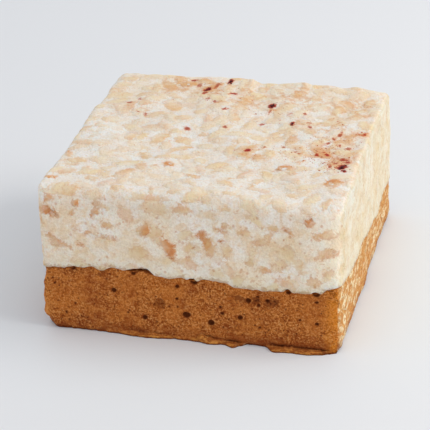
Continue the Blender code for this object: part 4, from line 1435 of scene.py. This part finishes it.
def smeared(nodes, colour, side, above):
    """Brown crumb that the knife dragged onto the foot of the cuts."""
    low = nodes.map(above, 0.0, 0.30, 0.22, 0.0)
    ragged_low = nodes.plus(nodes.noise(0.0012, 4.0, 0.6), low)
    fading = nodes.map(above, 0.10, 0.50, 0.65, 0.0)
    return nodes.over(colour, CRUMB_SMEAR, nodes.map(ragged_low, 0.62, 0.70), fading, side, 0.80)


def shaded_on_right(nodes, colour, facing_right_or_glow):
    """Painted shade: a cooler, darker tone on the right cut, which the lamp lights most, and a
    greyer band where the surface turns towards it, which tones down the lamp's highlight there.
    """
    colour = nodes.tint(colour, RIGHT_SHADE_TINT, nodes.map(facing_right_or_glow, 0.42, 0.88))
    band = nodes.times(nodes.map(facing_right_or_glow, 0.40, 0.65), nodes.map(facing_right_or_glow, 0.98, 0.82))
    return nodes.tint(colour, TURN_SHADE_TINT, band)


def stained(nodes, colour):
    """The rust tinge round the red crumbs, their specks, and the crumbs' own ragged red marks."""
    red, dark, tinge = nodes.marks("stains")
    grit = nodes.noise(0.00085, 4.0, 0.6, 0.67)
    cloud = nodes.patches(0.35, 0.65, 0.0024, 4.0, 0.8, 0.29)
    halo = nodes.math("SUBTRACT", nodes.math("MULTIPLY", tinge, 2.0), cloud)
    colour = nodes.over(colour, STAIN_HALO, nodes.map(halo, -0.15, 0.45), 0.75)
    specks = nodes.map(nodes.plus(grit, tinge, 0.26), 0.70, 0.80)
    colour = nodes.over(colour, STAIN_RUST, specks, nodes.map(tinge, 0.08, 0.20))

    depth = nodes.map(red, 0.0, 1.0, -RED_FADE / MM, RED_FADE / MM)
    depth = nodes.plus(depth, nodes.math("SUBTRACT", grit, 0.5), 2.2)
    strength = nodes.map(dark, 0.15, 0.60, 0.55, 1.0)
    colour = nodes.over(colour, STAIN_RUST, nodes.map(depth, -0.40, 0.05), strength, 0.85)
    deep = nodes.mix(nodes.map(dark, 0.30, 0.75), STAIN_BROWN, STAIN_RED)
    colour = nodes.over(colour, deep, nodes.map(depth, -0.05, 0.28), strength)
    core = nodes.plus(depth, dark, 1.2)
    return nodes.over(colour, STAIN_DARK, nodes.map(core, 1.55, 1.95))


def marshmallow_material():
    nodes = Nodes("marshmallow")
    inside, tone, shows = nodes.marks("grains")
    side, above, pit_edge = nodes.marks("places")
    facing_right_or_glow, near_rim, pit_shade = nodes.marks("light")
    depth = ragged_depth(nodes, inside)
    crisp = nodes.map(depth, -0.10, 0.25)
    shown = grain_cover(nodes, crisp, depth, shows, facing_right_or_glow)
    colour = film_by_place(nodes, side, above, near_rim, facing_right_or_glow)
    colour = nodes.over(colour, rice_colour(nodes, tone), shown)
    colour = flaked(nodes, colour, side, depth, shows, facing_right_or_glow)

    # Painted shade: bubbles and the knife's opened pits are darkened inside
    few = nodes.patches(0.47, 0.53, 0.0040, 2.0, 0.0, 0.77)
    bubbles = nodes.times(nodes.dots(0.0020, 0.14, 0.24, 0.43), few, nodes.map(side, 0.0, 1.0, 0.15, 1.0))
    colour = nodes.over(colour, PIT_SHADE_COLOUR, bubbles, 0.42)
    colour = nodes.over(colour, PIT_SHADE_COLOUR, nodes.map(pit_edge, 0.44, 0.62), pit_shade, 0.75)
    colour = smeared(nodes, colour, side, above)
    colour = shaded_on_right(nodes, colour, facing_right_or_glow)
    colour = stained(nodes, colour)

    height = nodes.plus(nodes.noise(0.00052, 5.0), bubbles, -0.10)
    height = nodes.plus(height, crisp, 0.25)
    nodes.scatter(0.50, 0.0034, (1.0, 0.78, 0.56))
    roughness = nodes.map(shown, 0.0, 1.0, 0.50, 0.66)
    return nodes.finish(colour, nodes.bump(height, 0.00038), roughness, gloss=0.22)


def rice_material():
    nodes = Nodes("puffed_rice")
    tone, height, _ = nodes.marks("rice")
    patchy = nodes.math("SUBTRACT", nodes.noise(0.0010, 4.0, 0.5), 0.5)
    bare = nodes.map(nodes.plus(height, patchy, 1.4), 0.02, 0.26)
    colour = nodes.mix(bare, film_colour(nodes, 0.0), rice_colour(nodes, tone))
    colour = nodes.over(colour, RICE_DEEP, nodes.dots(0.0005, 0.10, 0.30), 0.30)
    nodes.scatter(0.40, 0.0020, (1.0, 0.78, 0.55))
    bump = nodes.bump(nodes.noise(0.0006, 4.0), 0.00012, 0.8)
    return nodes.finish(colour, bump, roughness=0.6, gloss=0.22)


# Sponge


def brown_crumb(nodes, fine, middle, edge):
    """The crumb of the front, back and left: mottled brown, with painted light at the front's two
    edges.
    """
    broad = nodes.patches(0.36, 0.64, 0.0085, 3.0, 0.4)
    colour = nodes.mix(broad, BROWN_DARK, BROWN)
    colour = nodes.over(colour, BROWN_LIGHT, middle, 0.85)
    lit_edge_colour = nodes.mix(nodes.map(nodes.axes()[0], -0.01, 0.01), LIT_EDGE_TAN, LIT_EDGE_ORANGE)
    broken = nodes.map(nodes.noise(0.0040, 3.0, 0.6, 0.47), 0.36, 0.56, 0.4, 1.0)
    colour = nodes.over(colour, lit_edge_colour, edge, broken, 0.80)
    coarse = nodes.map(nodes.noise(0.0050, 2.0, 0.5, 0.13), 0.38, 0.62, 0.45, 0.85)
    colour = nodes.over(colour, CRUMB_LIGHT, nodes.map(fine, 0.50, 0.68), coarse)
    return nodes.over(colour, CRUMB_DARK, nodes.map(fine, 0.50, 0.34), coarse)


def pale_crumb(nodes, fine):
    """The right cut's tan crumb, with cream patches and orange streaks that run along it."""
    colour = nodes.mix(nodes.map(fine, 0.38, 0.62), TAN_DARK, TAN)
    cream = nodes.patches(0.48, 0.57, 0.0020, 5.0, 0.8, 0.23, (1.0, 0.55, 1.0))
    cluster = nodes.map(nodes.noise(0.0110, 2.0, 0.0, 0.97), 0.40, 0.56, 0.55, 1.0)
    colour = nodes.over(colour, CREAM, cream, cluster)
    streaks = nodes.patches(0.50, 0.58, 0.0015, 5.0, 0.8, 0.71, (1.0, 0.50, 1.0))
    colour = nodes.over(colour, STREAK_ORANGE, streaks, 0.75)
    return nodes.over(colour, TAN_SHADE, nodes.map(fine, 0.46, 0.34), 0.65)


def skinned(nodes, colour, low, ledge, over_flap, lifts, wander):
    """The baked foot, the lifted skin with painted lit patches and painted shade in the crevice
    over it, and the dark line at the base: dark skin with a painted contact shadow.
    """
    baked = nodes.map(nodes.noise(0.0030, 3.0), 0.38, 0.56, 0.20, 1.0)
    colour = nodes.over(colour, BAKED_DARK_AND_RIM_SHADE, low, baked, 0.75)
    lit = nodes.patches(0.46, 0.58, 0.0010, 5.0, 1.2, 0.53, (0.5, 1.0, 1.8))
    colour = nodes.over(colour, nodes.mix(lit, SKIN_ORANGE, SKIN_LIT), ledge, 0.80)
    off_gap = nodes.math("ABSOLUTE", nodes.plus(nodes.math("SUBTRACT", over_flap, 0.5), wander, 0.55))
    crevice = nodes.times(nodes.map(off_gap, 0.04, 0.17, 1.0, 0.0), nodes.map(lifts, 0.2, 0.7))
    colour = nodes.over(colour, DARK_BASE_AND_CREVICE_SHADE, crevice, 0.90)
    over_base = nodes.plus(nodes.axes()[2], wander, 0.0009)
    return nodes.over(colour, DARK_BASE_AND_CREVICE_SHADE, nodes.map(over_base, 0.00050, 0.00020, 0.0, 0.75))


def opened(nodes, colour, gap_shade, pore_edge, pore_shade, wander):
    """Painted shade in the torn line, the open pockets and the patches under the marshmallow, and
    in the pores with their darker rims.
    """
    torn = nodes.plus(gap_shade, wander, 2.2)
    colour = nodes.over(colour, GAP_SHADE_COLOUR, nodes.map(torn, 0.25, 0.50), 0.80)
    colour = nodes.over(colour, PORE_SHADE_COLOUR, nodes.map(torn, 0.85, 1.05))
    colour = nodes.over(colour, BAKED_DARK_AND_RIM_SHADE, nodes.map(pore_edge, 0.15, 0.50), pore_shade, 0.45)
    return nodes.over(colour, PORE_SHADE_COLOUR, nodes.map(pore_edge, 0.42, 0.60), pore_shade, 0.90)


def sponge_material():
    nodes = Nodes("sponge")
    gap_shade, right, low = nodes.marks("sponge")
    pore_edge, pore_shade, lifts = nodes.marks("pores")
    ledge, over_flap, edge = nodes.marks("skin")
    fine = nodes.noise(0.00046, 5.0, 0.6)
    middle = nodes.patches(0.36, 0.64, 0.0021, 3.0, 0.8, 0.37, (0.7, 0.7, 1.2))
    wander = nodes.math("SUBTRACT", nodes.noise(0.0007, 4.0, 0.6), 0.5)
    # Small pores, painted dark as shade inside them
    few = nodes.patches(0.45, 0.52, 0.0030, 1.0, 0.0, 0.91)
    pits = nodes.times(nodes.dots(0.0014, 0.11, 0.18, 0.61), few)
    colour = brown_crumb(nodes, fine, middle, edge)
    colour = nodes.over(colour, PORE_SHADE_COLOUR, pits, 0.75)
    colour = nodes.over(colour, pale_crumb(nodes, fine), right)
    colour = skinned(nodes, colour, low, ledge, over_flap, lifts, wander)
    colour = opened(nodes, colour, gap_shade, pore_edge, pore_shade, wander)
    height = nodes.plus(nodes.plus(fine, middle, 0.6), pits, -0.8)
    nodes.scatter(0.10, 0.0010, (1.0, 0.45, 0.18))
    return nodes.finish(colour, nodes.bump(height, 0.00026, 0.9), roughness=0.80, gloss=0.12)


# Crumbs and floor


def crumb_material():
    nodes = Nodes("red_crumb")
    colour = nodes.mix(nodes.patches(0.48, 0.66, 0.0006, 3.0), STAIN_DARK, STAIN_RED)
    bump = nodes.bump(nodes.noise(0.0003, 4.0), 0.00010, 0.8)
    return nodes.finish(colour, bump, roughness=0.60, gloss=0.15)


def dust_material():
    nodes = Nodes("red_dust")
    colour = nodes.mix(nodes.patches(0.38, 0.62, 0.0022, 2.0), STAIN_BROWN, STAIN_RUST)
    bump = nodes.bump(nodes.noise(0.0002, 2.0), 0.00005, 0.5)
    return nodes.finish(colour, bump, roughness=0.6, gloss=0.15)


def floor_material():
    nodes = Nodes("floor")
    x, y, _ = nodes.axes()
    # Painted light: brighter towards the lamp, and cooler close to the cake against its warm bounce
    away = nodes.plus(x, y, 0.6)
    colour = nodes.mix(nodes.map(away, *FLOOR_REACH), FLOOR_PAINTED_DIM, FLOOR_PAINTED_BRIGHT)
    distance = nodes.add("ShaderNodeVectorMath", operation="LENGTH")
    nodes.feed(distance.inputs[0], nodes.place)
    beside = nodes.map(distance.outputs["Value"], *BESIDE_REACH, 1.0, 0.0)
    colour = nodes.tint(colour, FLOOR_BESIDE_PAINTED_COOL, beside)
    return nodes.finish(colour, nodes.bump(nodes.noise(0.001, 2.0), 0.00001, 0.2), roughness=0.6)


# Camera, light and floor


def add_camera():
    data = bpy.data.cameras.new("camera")
    data.sensor_width = SENSOR_WIDTH
    data.lens = SENSOR_WIDTH * FOCAL_PIXELS / FRAME_PIXELS
    data.clip_start, data.clip_end = CAMERA_CLIP
    camera = link(bpy.data.objects.new("camera", data))
    turn, pitch, roll = (math.radians(angle) for angle in CAMERA_TURN)
    rotation = Matrix.Rotation(turn, 4, "Z") @ Matrix.Rotation(pitch, 4, "X") @ Matrix.Rotation(roll, 4, "Z")
    camera.matrix_world = Matrix.Translation(CAMERA_PLACE) @ rotation
    bpy.context.scene.camera = camera


def add_key_light():
    """A large soft lamp at the right, which gives the right cut its glow."""
    data = bpy.data.lights.new("key", "AREA")
    data.size = KEY_SIZE
    data.energy = KEY_POWER
    data.color = KEY_COLOUR
    lamp = link(bpy.data.objects.new("key", data))
    lamp.location = KEY_PLACE
    lamp.rotation_euler = (Vector(KEY_AIM) - Vector(KEY_PLACE)).to_track_quat("-Z", "Y").to_euler()


def add_studio():
    """An even pale world, which gives the soft light from all round."""
    world = bpy.data.worlds.new("studio")
    world.use_nodes = True
    background = world.node_tree.nodes["Background"]
    background.inputs["Color"].default_value = (*STUDIO_COLOUR, 1.0)
    background.inputs["Strength"].default_value = STUDIO_STRENGTH
    bpy.context.scene.world = world


def add_floor():
    corners = [(-FLOOR_HALF, -FLOOR_HALF, 0.0), (FLOOR_HALF, -FLOOR_HALF, 0.0),
               (FLOOR_HALF, FLOOR_HALF, 0.0), (-FLOOR_HALF, FLOOR_HALF, 0.0)]
    mesh = bpy.data.meshes.new("floor")
    mesh.from_pydata(corners, [], [(0, 1, 2, 3)])
    mesh.update()
    mesh.materials.append(floor_material())
    floor = link(bpy.data.objects.new("floor", mesh))


def dress(item, material):
    item.data.materials.append(material)
    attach(item, "root")


def main():
    grains = all_grains()
    marshmallow = crispy_mesh()
    shape_crispy(marshmallow, grains)
    dress(marshmallow, marshmallow_material())
    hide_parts("crispy_layer")

    sponge = sponge_mesh()
    shape_sponge(sponge)
    dress(sponge, sponge_material())
    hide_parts("sponge_base")

    surface = BVHTree.FromObject(marshmallow, bpy.context.evaluated_depsgraph_get())
    dress(rice_mesh(grains, surface), rice_material())
    dress(red_crumbs(surface), crumb_material())
    dress(red_dust(surface), dust_material())

    add_camera()
    add_key_light()
    add_studio()
    add_floor()
    bpy.context.scene.view_settings.view_transform = "Standard"


main()
